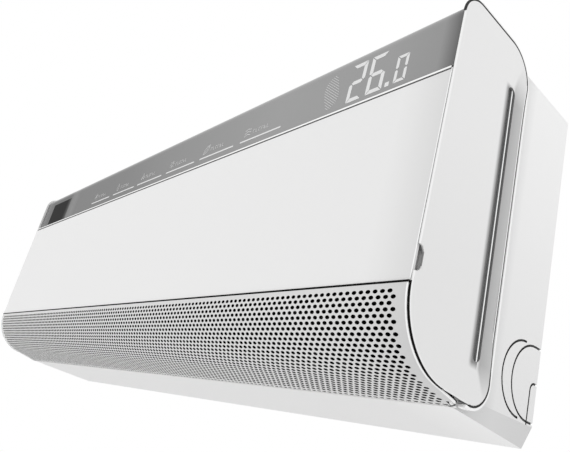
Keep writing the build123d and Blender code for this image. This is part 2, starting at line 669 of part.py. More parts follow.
def coil_lines():
    """Middle of the lower and the upper edge of the front, upper and rear slab, as Y-Z points."""
    half = coil_thickness / 2
    top_z = case_top - coil_headroom
    front_y1 = front_coil_y + coil_thickness
    fall = pan_fall * (front_y1 - pan_front_y - pan_wall) / (pan_rear_y - pan_front_y - 2 * pan_wall)
    lines = [((front_coil_y + half, pan_floor_z + pan_wall + fall + seat),
              (front_coil_y + half, front_coil_top))]
    for y, lean, rest_z, way in ((upper_coil_y, upper_coil_lean, front_coil_top, 1),
                                 (rear_coil_y, rear_coil_lean, end_wall_top, -1)):
        z = rest_z + seat + half * sin(radians(lean))
        lines.append(((y, z), (y + way * (top_z - z) * tan(radians(lean)), top_z)))
    return lines


def coil_slab(foot, top, x0=coil_left, x1=coil_right):
    """One slab of fins between the middles of its lower and upper edge."""
    across, rise = top[0] - foot[0], top[1] - foot[1]
    middle = Pos((x0 + x1) / 2, (foot[0] + top[0]) / 2, (foot[1] + top[1]) / 2)
    return middle * Rot(-degrees(atan2(across, rise)), 0, 0) * Box(x1 - x0, coil_thickness,
                                                                   hypot(across, rise))


def coil_end_plates():
    """Thin metal plates over both ends of the three slabs."""
    ends = ((coil_left - coil_plate, coil_left), (coil_right, coil_right + coil_plate))
    return [coil_slab(foot, top, *end) for foot, top in coil_lines() for end in ends]


def return_bends():
    """Half loops of tube outside the right end plate, up the middle of each slab."""
    r, cut = bend_radius, bend_radius / 2
    path = Polyline((r, 0), (r, cut), (cut, r), (-cut, r), (-r, cut), (-r, 0))
    section = Plane(origin=path @ 0, z_dir=path % 0) * RegularPolygon(tube_radius, small_sides // 2)
    loop = sweep(section, path=path, transition=Transition.RIGHT)
    bends = []
    for foot, top in coil_lines():
        across, rise = top[0] - foot[0], top[1] - foot[1]
        length = hypot(across, rise)
        count = int(length / bend_spacing)
        for k in range(count):
            share = (k + 0.5) / count
            start = (coil_right + coil_plate, foot[0] + share * across, foot[1] + share * rise)
            bends.append(Plane(origin=start, x_dir=(0, across, rise), z_dir=(0, rise, -across)) * loop)
    return bends


def drain_pan():
    """Trough under the front slab, whose underside is the roof of the duct."""
    w = pan_wall
    x0, x1 = duct_left - duct_wall, duct_right + duct_wall
    rear_top, rear_z = pan_rear_y + pan_rear_lean, pan_lip_z + pan_fall
    front = [(pan_front_y, pan_lip_z), (pan_front_y, pan_floor_z), (pan_rear_y, pan_floor_z + pan_fall)]
    back = [(rear_top, rear_z), (rear_top - w, rear_z), (pan_rear_y - w, pan_floor_z + pan_fall + w)]
    body = along_x(front + back + [(pan_front_y + w, pan_floor_z + w), (pan_front_y + w, pan_lip_z)], x0, x1)
    for x in (x0, x1 - w):
        body += along_x(front + [(pan_rear_y + 2, pan_lip_z)], x, x + w)
    return body


def drain_spout():
    """Tube from the pan's right end down to the channel at the back, with a round socket at its end."""
    x0, x = duct_right + duct_wall + seat, liquid_drop_x
    y, z = pan_rear_y - 14, pan_floor_z + 4
    path = Polyline((x0, y, z), (x, y, z), (x, pipe_run_y, drain_run_z),
                    (pipe_end_x + 1, pipe_run_y, drain_run_z))
    section = Plane(origin=path @ 0, z_dir=(1, 0, 0)) * peg(spout_radius)
    tube = sweep(section, path=path, transition=Transition.RIGHT)
    tube += rod(pipe_end_x, pipe_end_x + spout_socket, pipe_run_y, drain_run_z, spout_radius + 0.8)
    return tube - rod(pipe_end_x - 1, pipe_end_x + 2 * spout_socket, pipe_run_y, drain_run_z, spout_bore)


def pipe(radius, run_z, start, drop_x):
    """A copper pipe: out of the rear slab's end plate, down, along the channel, and its flare union."""
    start_z = coil_lines()[2][0][1] + start
    x = pipe_end_x + union_length
    points = [(coil_right + coil_plate + seat, start_z), (drop_x, start_z), (drop_x, run_z), (x, run_z)]
    path = Plane.XZ.offset(-pipe_run_y) * FilletPolyline(*points, radius=pipe_bend)
    section = Plane(origin=path @ 0, z_dir=path % 0) * RegularPolygon(radius, pipe_sides)
    nut = carried(Pos(pipe_run_y, run_z) * RegularPolygon(radius + 2 * union_wall, 6), x, x + union_nut)
    return sweep(section, path=path) + nut + rod(pipe_end_x, x + 1, pipe_run_y, run_z, radius + union_wall)


def filter_spans():
    """The left and the right filter's ends along X."""
    middle = (filter_left + filter_right) / 2
    return (filter_left, middle - filter_gap / 2), (middle + filter_gap / 2, filter_right)


def air_filter(x0, x1):
    """A filter: a ribbed frame over a fine sheet, with a tab to pull it out at the top."""
    y0, y1 = filter_y - filter_thickness / 2, filter_y + filter_thickness / 2
    body = block(x0, x1, y0, y1, filter_foot, filter_top)
    wide = (x1 - x0 - filter_rib) / filter_columns
    high = (filter_top - filter_foot - filter_rib - tab_height) / filter_rows
    for i in range(filter_columns):
        for j in range(filter_rows):
            left, foot = x0 + filter_rib + i * wide, filter_foot + filter_rib + j * high
            for ya, yb in ((y0 - 1, filter_y - filter_mesh / 2), (filter_y + filter_mesh / 2, y1 + 1)):
                body -= block(left, left + wide - filter_rib, ya, yb, foot, foot + high - filter_rib)
    middle = (x0 + x1) / 2
    return body + block(middle - tab_width / 2, middle + tab_width / 2, y0, y1, filter_top - 1,
                        case_top + tab_height)


def filter_frame():
    """Upright guides for the filters, joined by a lower bar."""
    y0, y1 = filter_y - filter_thickness / 2 - filter_fit, filter_y + filter_thickness / 2 + filter_fit
    foot, top = filter_foot - filter_fit - guide_wall, case_top - case_wall - seat
    left, right = filter_left - filter_fit - guide_wall, filter_right + filter_fit + guide_wall
    middle, half = (filter_left + filter_right) / 2, filter_gap / 2 + guide_grip
    posts = ((left, filter_left + guide_grip), (middle - half, middle + half),
             (filter_right - guide_grip, right))
    body = block(left, right, y0 - guide_wall, y1 + guide_wall, foot, filter_foot + guide_grip)
    for x0, x1 in posts:
        body += block(x0, x1, y0 - guide_wall, y1 + guide_wall, foot, top)
    for x0, x1 in filter_spans():
        body -= block(x0 - filter_fit, x1 + filter_fit, y0, y1, filter_foot - filter_fit, top + 1)
    return body


def top_grille():
    """Intake grille let into the top: a frame with long bars and a few cross bars."""
    x1, y0, y1 = grille_half - seat, grille_front_y + seat, grille_rear_y - seat
    z0, z1 = case_top - grille_depth, case_top - 0.4
    f = grille_frame
    body = block(-x1, x1, y0, y1, z0, z1) - block(f - x1, x1 - f, y0 + f, y1 - f, z0 - 1, z1 + 1)
    for i in range(grille_bars):
        y = y0 + f + (y1 - y0 - 2 * f) * (i + 1) / (grille_bars + 1)
        body += block(f / 2 - x1, x1 - f / 2, y - grille_bar / 2, y + grille_bar / 2, z0, z1)
    for i in range(grille_cross_bars):
        x = 2 * x1 * (i + 1) / (grille_cross_bars + 1) - x1
        body += block(x - grille_cross / 2, x + grille_cross / 2, y0 + f / 2, y1 - f / 2, z0, z1)
    return body


def wall_plate():
    """Steel sheet screwed to the wall, with hooks for the chassis and stamped windows."""
    plate = block(-plate_half, plate_half, -plate_thickness, 0, plate_foot, plate_top)
    for x in (-screw_spacing_x / 2, screw_spacing_x / 2):
        for z in (plate_centre_z - screw_spacing_z / 2, plate_centre_z + screw_spacing_z / 2):
            plate -= Pos(x, 0, z) * Rot(90, 0, 0) * Cylinder(screw_hole, 10)
    half, rise = plate_window_width / 2, plate_window_height / 2
    for x in (-plate_half / 3, plate_half / 3):
        plate -= block(x - half, x + half, -5, 5, plate_centre_z - rise, plate_centre_z + rise)
    front = -plate_thickness - hook_reach
    for x in (-plate_half * 0.8, 0, plate_half * 0.8):
        plate += block(x - hook_width / 2, x + hook_width / 2, front, -plate_thickness,
                       plate_top - hook_thickness, plate_top)
    return plate


def control_box():
    """Open-fronted box beside the duct for the electronics, with a flange to the back wall."""
    w = box_wall
    body = block(box_left, box_right, box_front_y, box_rear_y, box_foot, box_top)
    body -= block(box_left + w, box_right - w, box_front_y - 1, box_rear_y - w, box_foot + w, box_top - w)
    return body + block(box_right - w, box_right, box_rear_y - w, -back_setback - back_wall - seat,
                        ear_foot, ear_top)


def box_cover():
    body = block(box_left, box_right, box_front_y - seat - box_wall, box_front_y - seat, box_foot, box_top)
    return body - button_disc(button_radius + seat, -beyond, 0)


def button_disc(radius, y0, y1):
    """A disc of the button's, between two depths."""
    return Pos(button_x, y1, button_z) * Rot(90, 0, 0) * extrude(RegularPolygon(radius, 2 * small_sides),
                                                                 y1 - y0)


def service_button():
    """Push button through the box cover; its collar keeps it in."""
    front = box_front_y - seat - box_wall - 1.5
    collar_y = box_front_y + seat
    cap = button_disc(button_radius, front, front + button_height)
    return cap + button_disc(button_radius + 1.5, collar_y, collar_y + button_collar)


def button_switch():
    """Small switch that the button presses, on a post of the board."""
    y = box_front_y + button_travel + 2 * seat + button_collar
    board_y = box_rear_y - board_stand - board_thickness - seat
    body = block(button_x - 5, button_x + 5, y, y + 5, button_z - 5, button_z + 5)
    return body + block(button_x - 3, button_x + 3, y + 4, board_y, button_z - 3, button_z + 3)


def control_board():
    """Board on two posts, with its larger components as plain blocks."""
    inset, y = box_wall + 1, box_rear_y - board_stand
    front = y - board_thickness
    board = block(box_left + inset, box_right - inset, front, y, box_foot + 30, box_top - box_wall)
    for x, share, wide, high, deep in board_parts:
        x0, z0 = box_left + x - wide / 2, box_foot + share * (box_top - box_foot) - high / 2
        board += block(x0, x0 + wide, front - deep, front, z0, z0 + high)
    for z in (box_foot + 50, box_top - 20):
        board += block(box_left + 22, box_left + 28, y, box_rear_y - box_wall - seat, z, z + 6)
    return board


def terminal_block():
    """Block of screw terminals on the floor of the box, in front of its back wall."""
    x0, z0 = box_left + 12, box_foot + box_wall + seat
    y0 = box_rear_y - box_wall - seat - terminal_depth
    body = block(x0, x0 + terminal_width, y0, y0 + terminal_depth, z0, z0 + terminal_height)
    for k in range(4):
        x = x0 + 5 + terminal_pitch * k
        body -= block(x, x + 7, y0 - 1, y0 + 7, z0 + 5, z0 + 15)
    return body


def deflector_motor():
    """Small stepper inside the right end rib, beside the deflector's axis."""
    x1 = rib_outer - end_rib - seat
    can = Pos(lip_y + stepper_offset, lip_z + stepper_offset) * RegularPolygon(stepper_radius,
                                                                               2 * small_sides)
    return carried(can, x1 - stepper_length, x1)


def vane_motor():
    """Small stepper under the duct floor, below the last vane's pivot."""
    can = extrude(RegularPolygon(stepper_radius, 2 * small_sides), stepper_length)
    return on_floor(Pos(vane_places[-1], 0, -scroll_wall - seat - stepper_length) * can)


def casing_screws():
    """Screws in the lower bar of the filter frame, hidden by the panel."""
    y = filter_y - filter_thickness / 2 - filter_fit - guide_wall
    head = Rot(90, 0, 0) * extrude(peg(screw_head_radius), screw_head)
    places = [filter_left + share * (filter_right - filter_left) for share in (0.05, 0.35, 0.65, 0.95)]
    return [Pos(x, y, filter_foot + 1) * head for x in places]


def write(name, *shapes):
    """Writes one node, lowered so that the origin is the middle of the wall screws."""
    moved = [Pos(0, 0, -plate_centre_z) * solid for shape in shapes for solid in shape.solids()]
    whole = moved[0] if len(moved) == 1 else Compound(children=moved)
    export_step(whole, f"parts/{name}.step")
    print(name, len(moved), round(sum(solid.volume for solid in moved)))


os.makedirs("parts", exist_ok=True)
write("casing", casing())
for name, make in (("end_cap", end_cap), ("cap_rim", cap_rim), ("slot_grille", slot_grille)):
    right = make()
    write(f"right_{name}", right)
    write(f"left_{name}", both_ends(right))
write("front_panel", front_panel())
write("display_band", display_band())
write("sensor_window", sensor_window())
write("display_board", display_board())
write("panel_frame", panel_frame())
write("deflector_skin", deflector_skin())
write("deflector_frame", deflector_frame())
write("rear_chassis", rear_chassis())
write("vane_rail", vane_rail())
for number, x in enumerate(vane_places, start=1):
    write(f"vane_{number:02d}", vane(x))
write("vane_tie_bar", tie_bar())
write("cross_flow_fan", cross_flow_fan())
write("fan_shaft", *fan_shaft())
write("fan_bearing", fan_bearing())
write("fan_motor", fan_motor())
write("motor_clamp", motor_clamp())
for name, line in zip(("front_coil", "upper_coil", "rear_coil"), coil_lines()):
    write(name, coil_slab(*line))
write("coil_end_plates", *coil_end_plates())
write("return_bends", *return_bends())
write("drain_pan", drain_pan())
write("drain_spout", drain_spout())
write("gas_pipe", pipe(gas_radius, gas_run_z, gas_start, gas_drop_x))
write("liquid_pipe", pipe(liquid_radius, liquid_run_z, liquid_start, liquid_drop_x))
for name, span in zip(("left_filter", "right_filter"), filter_spans()):
    write(name, air_filter(*span))
write("filter_frame", filter_frame())
write("top_grille", top_grille())
write("wall_plate", wall_plate())
write("control_box", control_box())
write("box_cover", box_cover())
write("control_board", control_board())
write("terminal_block", terminal_block())
write("service_button", service_button())
write("button_switch", button_switch())
write("deflector_motor", deflector_motor())
write("vane_motor", vane_motor())
write("casing_screws", *casing_screws())
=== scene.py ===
import math
import bmesh
import bpy
from mathutils import Matrix, Vector


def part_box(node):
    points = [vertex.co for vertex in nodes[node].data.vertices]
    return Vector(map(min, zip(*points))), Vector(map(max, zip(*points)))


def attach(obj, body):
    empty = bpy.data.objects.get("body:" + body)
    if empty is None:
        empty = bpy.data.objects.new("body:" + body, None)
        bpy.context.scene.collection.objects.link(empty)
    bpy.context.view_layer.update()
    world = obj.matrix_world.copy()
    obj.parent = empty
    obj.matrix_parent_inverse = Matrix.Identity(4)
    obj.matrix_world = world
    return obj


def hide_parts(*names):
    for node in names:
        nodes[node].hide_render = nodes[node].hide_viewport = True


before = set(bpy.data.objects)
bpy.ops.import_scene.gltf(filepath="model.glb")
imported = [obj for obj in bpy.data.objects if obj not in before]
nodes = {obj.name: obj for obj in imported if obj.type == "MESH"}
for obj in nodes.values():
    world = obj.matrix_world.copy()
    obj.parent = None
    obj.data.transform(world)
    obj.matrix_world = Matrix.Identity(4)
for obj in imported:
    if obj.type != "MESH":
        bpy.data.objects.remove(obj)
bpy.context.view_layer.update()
mm = 0.001
plateZ = -191.0  # the drawing's zero height in the row frame, in mm
print("frame loaded,", len(nodes), "nodes")

# Camera: the photograph's place, seen from low at the right, rolled

camera = {
    "place": (720.1, -489.7, -247.1),
    "yaw": 0.908, "pitch": 0.2843, "roll": 0.2479,
    "lens": 37.37, "shift": (-0.0031, 0.0993),
}


def newObject(name, data):
    made = bpy.data.objects.new(name, data)
    bpy.context.scene.collection.objects.link(made)
    return made


def addCamera(look):
    yaw, pitch, roll = look["yaw"], look["pitch"], look["roll"]
    ahead = Vector((-math.sin(yaw) * math.cos(pitch), math.cos(yaw) * math.cos(pitch), math.sin(pitch)))
    level = ahead.cross(Vector((0, 0, 1))).normalized()
    upright = level.cross(ahead)
    right = math.cos(roll) * level + math.sin(roll) * upright
    up = -math.sin(roll) * level + math.cos(roll) * upright
    data = bpy.data.cameras.new("photoCamera")
    data.lens = look["lens"]
    data.sensor_width = 36
    data.sensor_fit = "HORIZONTAL"
    data.shift_x, data.shift_y = look["shift"]
    data.clip_start = 0.01
    cam = newObject("photoCamera", data)
    turn = Matrix((right, up, -ahead)).transposed().to_4x4()
    cam.matrix_world = Matrix.Translation(Vector(look["place"]) * mm) @ turn
    bpy.context.scene.camera = cam


addCamera(camera)
bpy.context.scene.view_settings.view_transform = "Standard"
print("camera placed")

# Small helpers for colours, lengths and shader nodes


def tint(shade, warm=0.0):
    # a screen grey 0..255 warmed a little, or a screen red, green and blue, as a shader's linear colour
    def linear(v):
        v /= 255
        return v / 12.92 if v <= 0.04045 else ((v + 0.055) / 1.055) ** 2.4
    red, green, blue = shade if isinstance(shade, tuple) else (shade + warm, shade, shade - warm)
    return (linear(red), linear(green), linear(blue), 1)


def within(value, limits):
    return limits[0] < value < limits[1]


def shareOf(value, start, end):
    # 0 at start, 1 at end, and held beyond both
    return min(1.0, max(0.0, (value - start) / (end - start)))


def feed(tree, value, socket):
    # links another node's socket, or sets a fixed value
    if isinstance(value, bpy.types.NodeSocket):
        tree.links.new(value, socket)
    else:
        socket.default_value = value


def addNode(tree, kind, **values):
    # a node with its inputs fed and its settings made, both by name
    node = tree.nodes.new(kind)
    for key, value in values.items():
        if key in node.inputs.keys():
            feed(tree, value, node.inputs[key])
        else:
            setattr(node, key, value)
    return node


def maths(tree, operation, first, second, clamp=False):
    node = addNode(tree, "ShaderNodeMath", operation=operation, use_clamp=clamp)
    feed(tree, first, node.inputs[0])
    feed(tree, second, node.inputs[1])
    return node.outputs[0]


def spread(tree, value, low, high):
    # 0 at low, 1 at high, and held beyond both
    limits = {"From Min": low, "From Max": high}
    return addNode(tree, "ShaderNodeMapRange", Value=value, **limits).outputs["Result"]


def mixColours(tree, factor, first, second, way="MIX"):
    mix = addNode(tree, "ShaderNodeMix", data_type="RGBA", blend_type=way, Factor=factor, A=first, B=second)
    return mix.outputs["Result"]


def objectPoint(tree):
    return tree.nodes.new("ShaderNodeTexCoord").outputs["Object"]


def objectAxis(tree, axis):
    return addNode(tree, "ShaderNodeSeparateXYZ", Vector=objectPoint(tree)).outputs[axis]


def noise(tree, scale, **values):
    texture = addNode(tree, "ShaderNodeTexNoise", Vector=objectPoint(tree), Scale=scale, **values)
    return texture.outputs["Fac"]


def surfaceNormal(tree):
    return tree.nodes.new("ShaderNodeNewGeometry").outputs["Normal"]


# Shared effects, each a group of numbers and masks


def newGroup(name, inputs, outputs):
    group = bpy.data.node_groups.new(name, "ShaderNodeTree")
    for label, start in inputs.items():
        socket = group.interface.new_socket(name=label, in_out="INPUT", socket_type="NodeSocketFloat")
        socket.default_value = start
    for label in outputs:
        group.interface.new_socket(name=label, in_out="OUTPUT", socket_type="NodeSocketFloat")
    return group, group.nodes.new("NodeGroupInput").outputs, group.nodes.new("NodeGroupOutput").inputs


def buildGrain():
    # moulded plastic: a fine spark texture over a slow wave of the wall
    group, given, out = newGroup("mouldGrain", {"Scale": 900, "Wave": 9, "Spark": 0.5}, ["Height", "Mottle"])
    fine = noise(group, given["Scale"], Detail=3.0, Roughness=0.6)
    slow = noise(group, given["Wave"], Detail=2.0, Roughness=0.5)
    mix = addNode(group, "ShaderNodeMix", data_type="FLOAT", Factor=given["Spark"], A=slow, B=fine)
    feed(group, mix.outputs["Result"], out["Height"])
    feed(group, slow, out["Mottle"])
    return group


def patches(tree, mask, cloud, amount):
    # a mask broken by noise, at a given strength
    return maths(tree, "MULTIPLY", maths(tree, "MULTIPLY", mask, cloud), amount, True)


def buildDust():
    # fine dust that settles on what faces up, broken by noise
    group, given, out = newGroup("settledDust", {"Amount": 0.3, "Scale": 60}, ["Dust"])
    up = addNode(group, "ShaderNodeSeparateXYZ", Vector=surfaceNormal(group))
    lift = spread(group, up.outputs["Z"], 0.35, 1.0)
    spots = noise(group, given["Scale"], Detail=6.0, Roughness=0.7)
    feed(group, patches(group, lift, spots, given["Amount"]), out["Dust"])
    return group


def buildWear():
    # edges rubbed by handling: where a rounded normal leaves the true one
    group, given, out = newGroup("edgeWear", {"Amount": 0.5, "Scale": 220}, ["Wear"])
    rounded = addNode(group, "ShaderNodeBevel", samples=4, Radius=0.0009)
    dot = addNode(group, "ShaderNodeVectorMath", operation="DOT_PRODUCT")
    feed(group, rounded.outputs["Normal"], dot.inputs[0])
    feed(group, surfaceNormal(group), dot.inputs[1])
    edge = spread(group, dot.outputs["Value"], 0.99, 0.8)
    chips = noise(group, given["Scale"], Detail=5.0, Roughness=0.7)
    feed(group, patches(group, edge, chips, given["Amount"]), out["Wear"])
    return group


def buildGloss():
    # soft changes of gloss, left by wiping and by fingers
    group, given, out = newGroup("wipedGloss", {"Base": 0.3, "Spread": 0.1, "Scale": 14}, ["Roughness"])
    cloud = noise(group, given["Scale"], Detail=4.0, Roughness=0.55, Distortion=0.4)
    varied = maths(group, "MULTIPLY", cloud, given["Spread"])
    feed(group, maths(group, "ADD", varied, given["Base"]), out["Roughness"])
    return group


groups = {"grain": buildGrain(), "dust": buildDust(), "wear": buildWear(), "gloss": buildGloss()}
print("effects built")


def effect(tree, key, **values):
    node = tree.nodes.new("ShaderNodeGroup")
    node.node_tree = groups[key]
    for label, value in values.items():
        node.inputs[label].default_value = value
    return node.outputs


finishes = {}
dustShade = (196, 192, 184)


def finish(name, shades, grain, depth, gloss, dust=0.0, wear=0.0, rubbed=240, warm=0.0, **surface):
    # two close shades, grain with its depth in mm, wiped gloss, a little dust and rubbed edges
    material = bpy.data.materials.new(name)
    material.use_nodes = True
    tree = material.node_tree
    shader = tree.nodes["Principled BSDF"].inputs
    for label, value in surface.items():
        shader[label.replace("_", " ")].default_value = value
    moulded = effect(tree, "grain", Scale=grain[0], Wave=grain[1], Spark=grain[2])
    colour = mixColours(tree, moulded["Mottle"], tint(shades[0], warm), tint(shades[1], warm))
    if dust:
        colour = mixColours(tree, effect(tree, "dust", Amount=dust)["Dust"], colour, tint(dustShade))
    if wear:
        colour = mixColours(tree, effect(tree, "wear", Amount=wear)["Wear"], colour, tint(rubbed))
    feed(tree, colour, shader["Base Color"])
    shine = effect(tree, "gloss", Base=gloss[0], Spread=gloss[1], Scale=gloss[2])
    feed(tree, shine["Roughness"], shader["Roughness"])
    bump = addNode(tree, "ShaderNodeBump", Strength=0.5, Distance=depth * mm, Height=moulded["Height"])
    feed(tree, bump.outputs["Normal"], shader["Normal"])
    finishes[name] = material


# Grain, depth and gloss shared by several finishes

coarse = ((1100, 8, 0.5), 0.03, (0.42, 0.1, 12))
polished = ((1500, 7, 0.1), 0.002, (0.1, 0.05, 9))
dull = ((900, 30, 0.5), 0.02, (0.5, 0.1, 20))

# White mouldings

finish("panelWhite", (236, 233), (1400, 6, 0.3), 0.005, (0.26, 0.06, 11), warm=0.4)
finish("capWhite", (242, 239), (1300, 8, 0.4), 0.02, (0.34, 0.1, 12), warm=0.4)
# a darker copy of the casing's white for the underside, as painted shade
finish("underWhite", (236, 232), *coarse, warm=0.4)
finish("caseWhite", (245, 242), *coarse, dust=0.25, warm=0.4)
# a copy of the casing's white for the side walls, which carries painted shade towards the bottom and beside
# the cap's rim
finish("sideWhite", (245, 242), *coarse, warm=0.4)
# painted highlights: the next two finishes are whiter than the mouldings, for rounded edges, rims, lips,
# bevels, beads and edge lines
finish("rimWhite", (250, 246), (1300, 10, 0.3), 0.01, (0.2, 0.08, 20), Specular_IOR_Level=0.8,
       Coat_Weight=0.5)
finish("edgeWhite", (255, 252), (1300, 10, 0.2), 0.005, (0.2, 0.08, 20), Specular_IOR_Level=1.0,
       Coat_Weight=1.0)
finish("skinWhite", (220, 215), (1300, 8, 0.4), 0.02, (0.36, 0.1, 12), warm=0.3)
finish("innerWhite", (212, 206), (1000, 12, 0.6), 0.04, (0.5, 0.1, 16), dust=0.2, warm=0.8)

# The display band and what it shows

finish("bandGlass", (136, 130), *polished, IOR=1.4, Specular_IOR_Level=0.16)
finish("windowGlass", (66, 60), *polished, IOR=1.4, Specular_IOR_Level=0.0)
finish("glow", (230, 225), (900, 30, 0.2), 0.002, (0.3, 0.05, 20))
finish("printGrey", (212, 204), (900, 30, 0.2), 0.002, (0.35, 0.05, 20))

# Painted shade: greys and blacks for facets, notches, slots, grooves, gaps and holes, where shade falls; the
# dark ones hardly mirror the pale room

finish("facetGrey", (210, 200), (1100, 12, 0.5), 0.03, (0.42, 0.1, 12))
finish("notchGrey", (146, 136), (900, 30, 0.5), 0.02, (0.45, 0.1, 20))
finish("slotGrey", (134, 120), (900, 20, 0.5), 0.03, (0.45, 0.1, 20))
finish("grooveGrey", (62, 52), *dull, Specular_IOR_Level=0.2)
finish("grooveLine", (38, 30), *dull, Specular_IOR_Level=0.2)
finish("shadowGrey", (72, 62), (900, 30, 0.4), 0.01, (0.5, 0.1, 20))
finish("sealBlack", (16, 10), (800, 50, 0.6), 0.03, (0.75, 0.1, 30), Specular_IOR_Level=0.1)
finish("holeDark", (8, 4), (500, 30, 0.5), 0.05, (0.8, 0.1, 20), Specular_IOR_Level=0.0)
finish("holeWall", (12, 8), (500, 30, 0.5), 0.02, (0.7, 0.1, 20), Specular_IOR_Level=0.0)

# Inside: plastics, metals, boards and rubber

finish("fanBlack", (46, 38), (700, 25, 0.6), 0.03, (0.42, 0.12, 20), dust=0.15)
finish("vaneGrey", (206, 200), (1100, 20, 0.5), 0.02, (0.4, 0.1, 20))
finish("frameGrey", (196, 188), (1000, 15, 0.6), 0.03, (0.45, 0.1, 18), dust=0.1)
finish("filterGrey", (84, 70), (900, 60, 0.7), 0.1, (0.7, 0.1, 30), dust=0.2)
finish("motorBlack", (52, 44), (420, 30, 0.7), 0.06, (0.38, 0.15, 26), wear=0.4, rubbed=150)
finish("rubber", (40, 30), (700, 40, 0.7), 0.05, (0.7, 0.1, 30))
finish("boardGreen", ((34, 92, 58), (26, 78, 48)), (900, 70, 0.5), 0.02, (0.3, 0.15, 40))
finish("terminalCream", ((226, 218, 196), (214, 204, 180)), (900, 40, 0.5), 0.02, (0.4, 0.1, 30), wear=0.3)
finish("steel", (176, 150), (260, 40, 0.6), 0.02, (0.32, 0.2, 30), dust=0.2, wear=0.6,
       rubbed=205, Metallic=0.9)
finish("copper", ((196, 122, 84), (170, 96, 62)), (400, 50, 0.5), 0.02, (0.25, 0.2, 40), wear=0.3,
       rubbed=(222, 150, 110), Metallic=1.0)
finish("finFoil", ((168, 190, 208), (150, 174, 194)), (300, 30, 0.5), 0.05, (0.3, 0.15, 30), Metallic=0.85)
finish("screwZinc", ((190, 188, 176), (160, 158, 146)), (600, 90, 0.5), 0.02, (0.25, 0.2, 60), wear=0.4,
       rubbed=225, Metallic=1.0)

dress = {
    "panelWhite": ["front_panel"],
    "capWhite": ["left_end_cap", "right_end_cap"],
    "caseWhite": ["casing", "top_grille"],
    "rimWhite": ["left_cap_rim", "right_cap_rim"],
    "skinWhite": ["deflector_skin"],
    "bandGlass": ["display_band"],
    "windowGlass": ["sensor_window"],
    "slotGrey": ["left_slot_grille", "right_slot_grille"],
    "steel": ["wall_plate", "motor_clamp", "control_box", "box_cover", "coil_end_plates"],
    "copper": ["gas_pipe", "liquid_pipe", "return_bends"],
    "finFoil": ["front_coil", "upper_coil", "rear_coil"],
    "fanBlack": ["cross_flow_fan"],
    "vaneGrey": [name for name in nodes if name.startswith("vane_") and name != "vane_motor"],
    "innerWhite": ["rear_chassis", "drain_pan", "drain_spout", "service_button"],
    "frameGrey": ["panel_frame", "deflector_frame", "filter_frame"],
    "filterGrey": ["left_filter", "right_filter"],
    "motorBlack": ["fan_motor", "vane_motor", "deflector_motor"],
    "boardGreen": ["control_board", "display_board"],
    "terminalCream": ["terminal_block", "button_switch"],
    "screwZinc": ["casing_screws", "fan_shaft"],
    "rubber": ["fan_bearing"],
}
for key, names in dress.items():
    for name in names:
        data = nodes[name].data
        data.materials.clear()
        data.materials.append(finishes[key])

# Painted light and shade: slow changes of grey across the outer faces


def greyAlong(tree, socket, stops):
    # a run of greys along one coordinate, its stops given in mm
    start, end = stops[0][0], stops[-1][0]
    ramp = tree.nodes.new("ShaderNodeValToRGB")
    points = ramp.color_ramp.elements
    while len(points) < len(stops):
        points.new(1.0)
    for point, (at, grey) in zip(points, stops):
        point.position = (at - start) / (end - start)
        point.color = tint(grey)
    feed(tree, spread(tree, socket, start * mm, end * mm), ramp.inputs["Fac"])
    return ramp.outputs["Color"]


def baseOf(key):
    # a finish's node tree, its colour socket and what feeds that now
    tree = finishes[key].node_tree
    socket = tree.nodes["Principled BSDF"].inputs["Base Color"]
    return tree, socket, socket.links[0].from_socket


# painted light and shade: for each finish the axis, the share of its own mottling that stays, and the greys
# along the axis
shades = {
    "bandGlass": ("X", 0.12, [(-473.1, 110), (-464, 90), (-452, 50), (-440, 20), (-350, 30), (-344, 70),
                              (-336, 98), (-322, 108), (-304, 92), (-120, 114), (250, 158), (400, 160),
                              (455, 152), (466, 120), (473.1, 92)]),
    "panelWhite": ("X", 0.3, [(428, 236), (444, 230), (456, 223), (473.1, 214)]),
    "skinWhite": ("X", 0.3, [(380, 221), (440, 218), (462, 210), (473.1, 205)]),
    "facetGrey": ("Y", 0.1, [(-120, 208), (-98, 213), (-60, 222), (0, 216)]),
    "capWhite": ("Z", 0.3, [(-191, 233), (-90, 235), (20, 241), (134, 243)]),
    "windowGlass": ("X", 0.2, [(-431, 64), (-360, 62), (-351, 92), (-345, 110)]),
    "sideWhite": ("Z", 0.1, [(-191, 231), (-100, 239), (0, 246), (129, 252)]),
    "underWhite": ("X", 0.3, [(300, 236), (400, 238), (461, 250)]),
}


def shadeSurfaces():
    for key, (axis, share, stops) in shades.items():
        tree, socket, mottled = baseOf(key)
        along = greyAlong(tree, objectAxis(tree, axis), stops)
        feed(tree, mixColours(tree, share, along, mottled), socket)


# Painted shade on the slanted flank behind the cap's slot: "knots" give how far forward it starts at each
# height,
# "below" its painted greys behind that line, "ahead" the painted shade in front of it, and the two last lists
# their ends in height
flank = {
    "knots": [(-191, 84), (-176, 90), (-150, 106), (-60, 108.6), (94, 113), (106, 110), (126, 102)],
    "knotScale": 200, "soft": 3.5,
    "below": [(0, 168), (22, 196)],
    "ahead": [(-12.6, 255), (-11.2, 247), (-9.9, 214), (-8.6, 181), (-7.3, 143)],
    "flankEnds": [(-191, 0), (-169, 90), (-146, 255), (82, 255), (106, 130), (126, 0)],
    "slotEnds": [(-152, 0), (-147, 255), (89, 255), (94, 0)],
}


def behindFlankLine(tree):
    # how far a point lies behind the line that the flank starts from
    knots, scale = flank["knots"], flank["knotScale"]
    low, high = knots[0][0], knots[-1][0]
    curve = tree.nodes.new("ShaderNodeFloatCurve")
    points = curve.mapping.curves[0].points
    while len(points) < len(knots):
        points.new(0.5, 0.5)
    for point, (z, behind) in zip(points, knots):
        point.location = ((z - low) / (high - low), behind / scale)
        point.handle_type = "VECTOR"
    curve.mapping.update()
    feed(tree, spread(tree, objectAxis(tree, "Z"), low * mm, high * mm), curve.inputs["Value"])
    line = maths(tree, "MULTIPLY", curve.outputs["Value"], scale * mm)
    return maths(tree, "ADD", objectAxis(tree, "Y"), line)


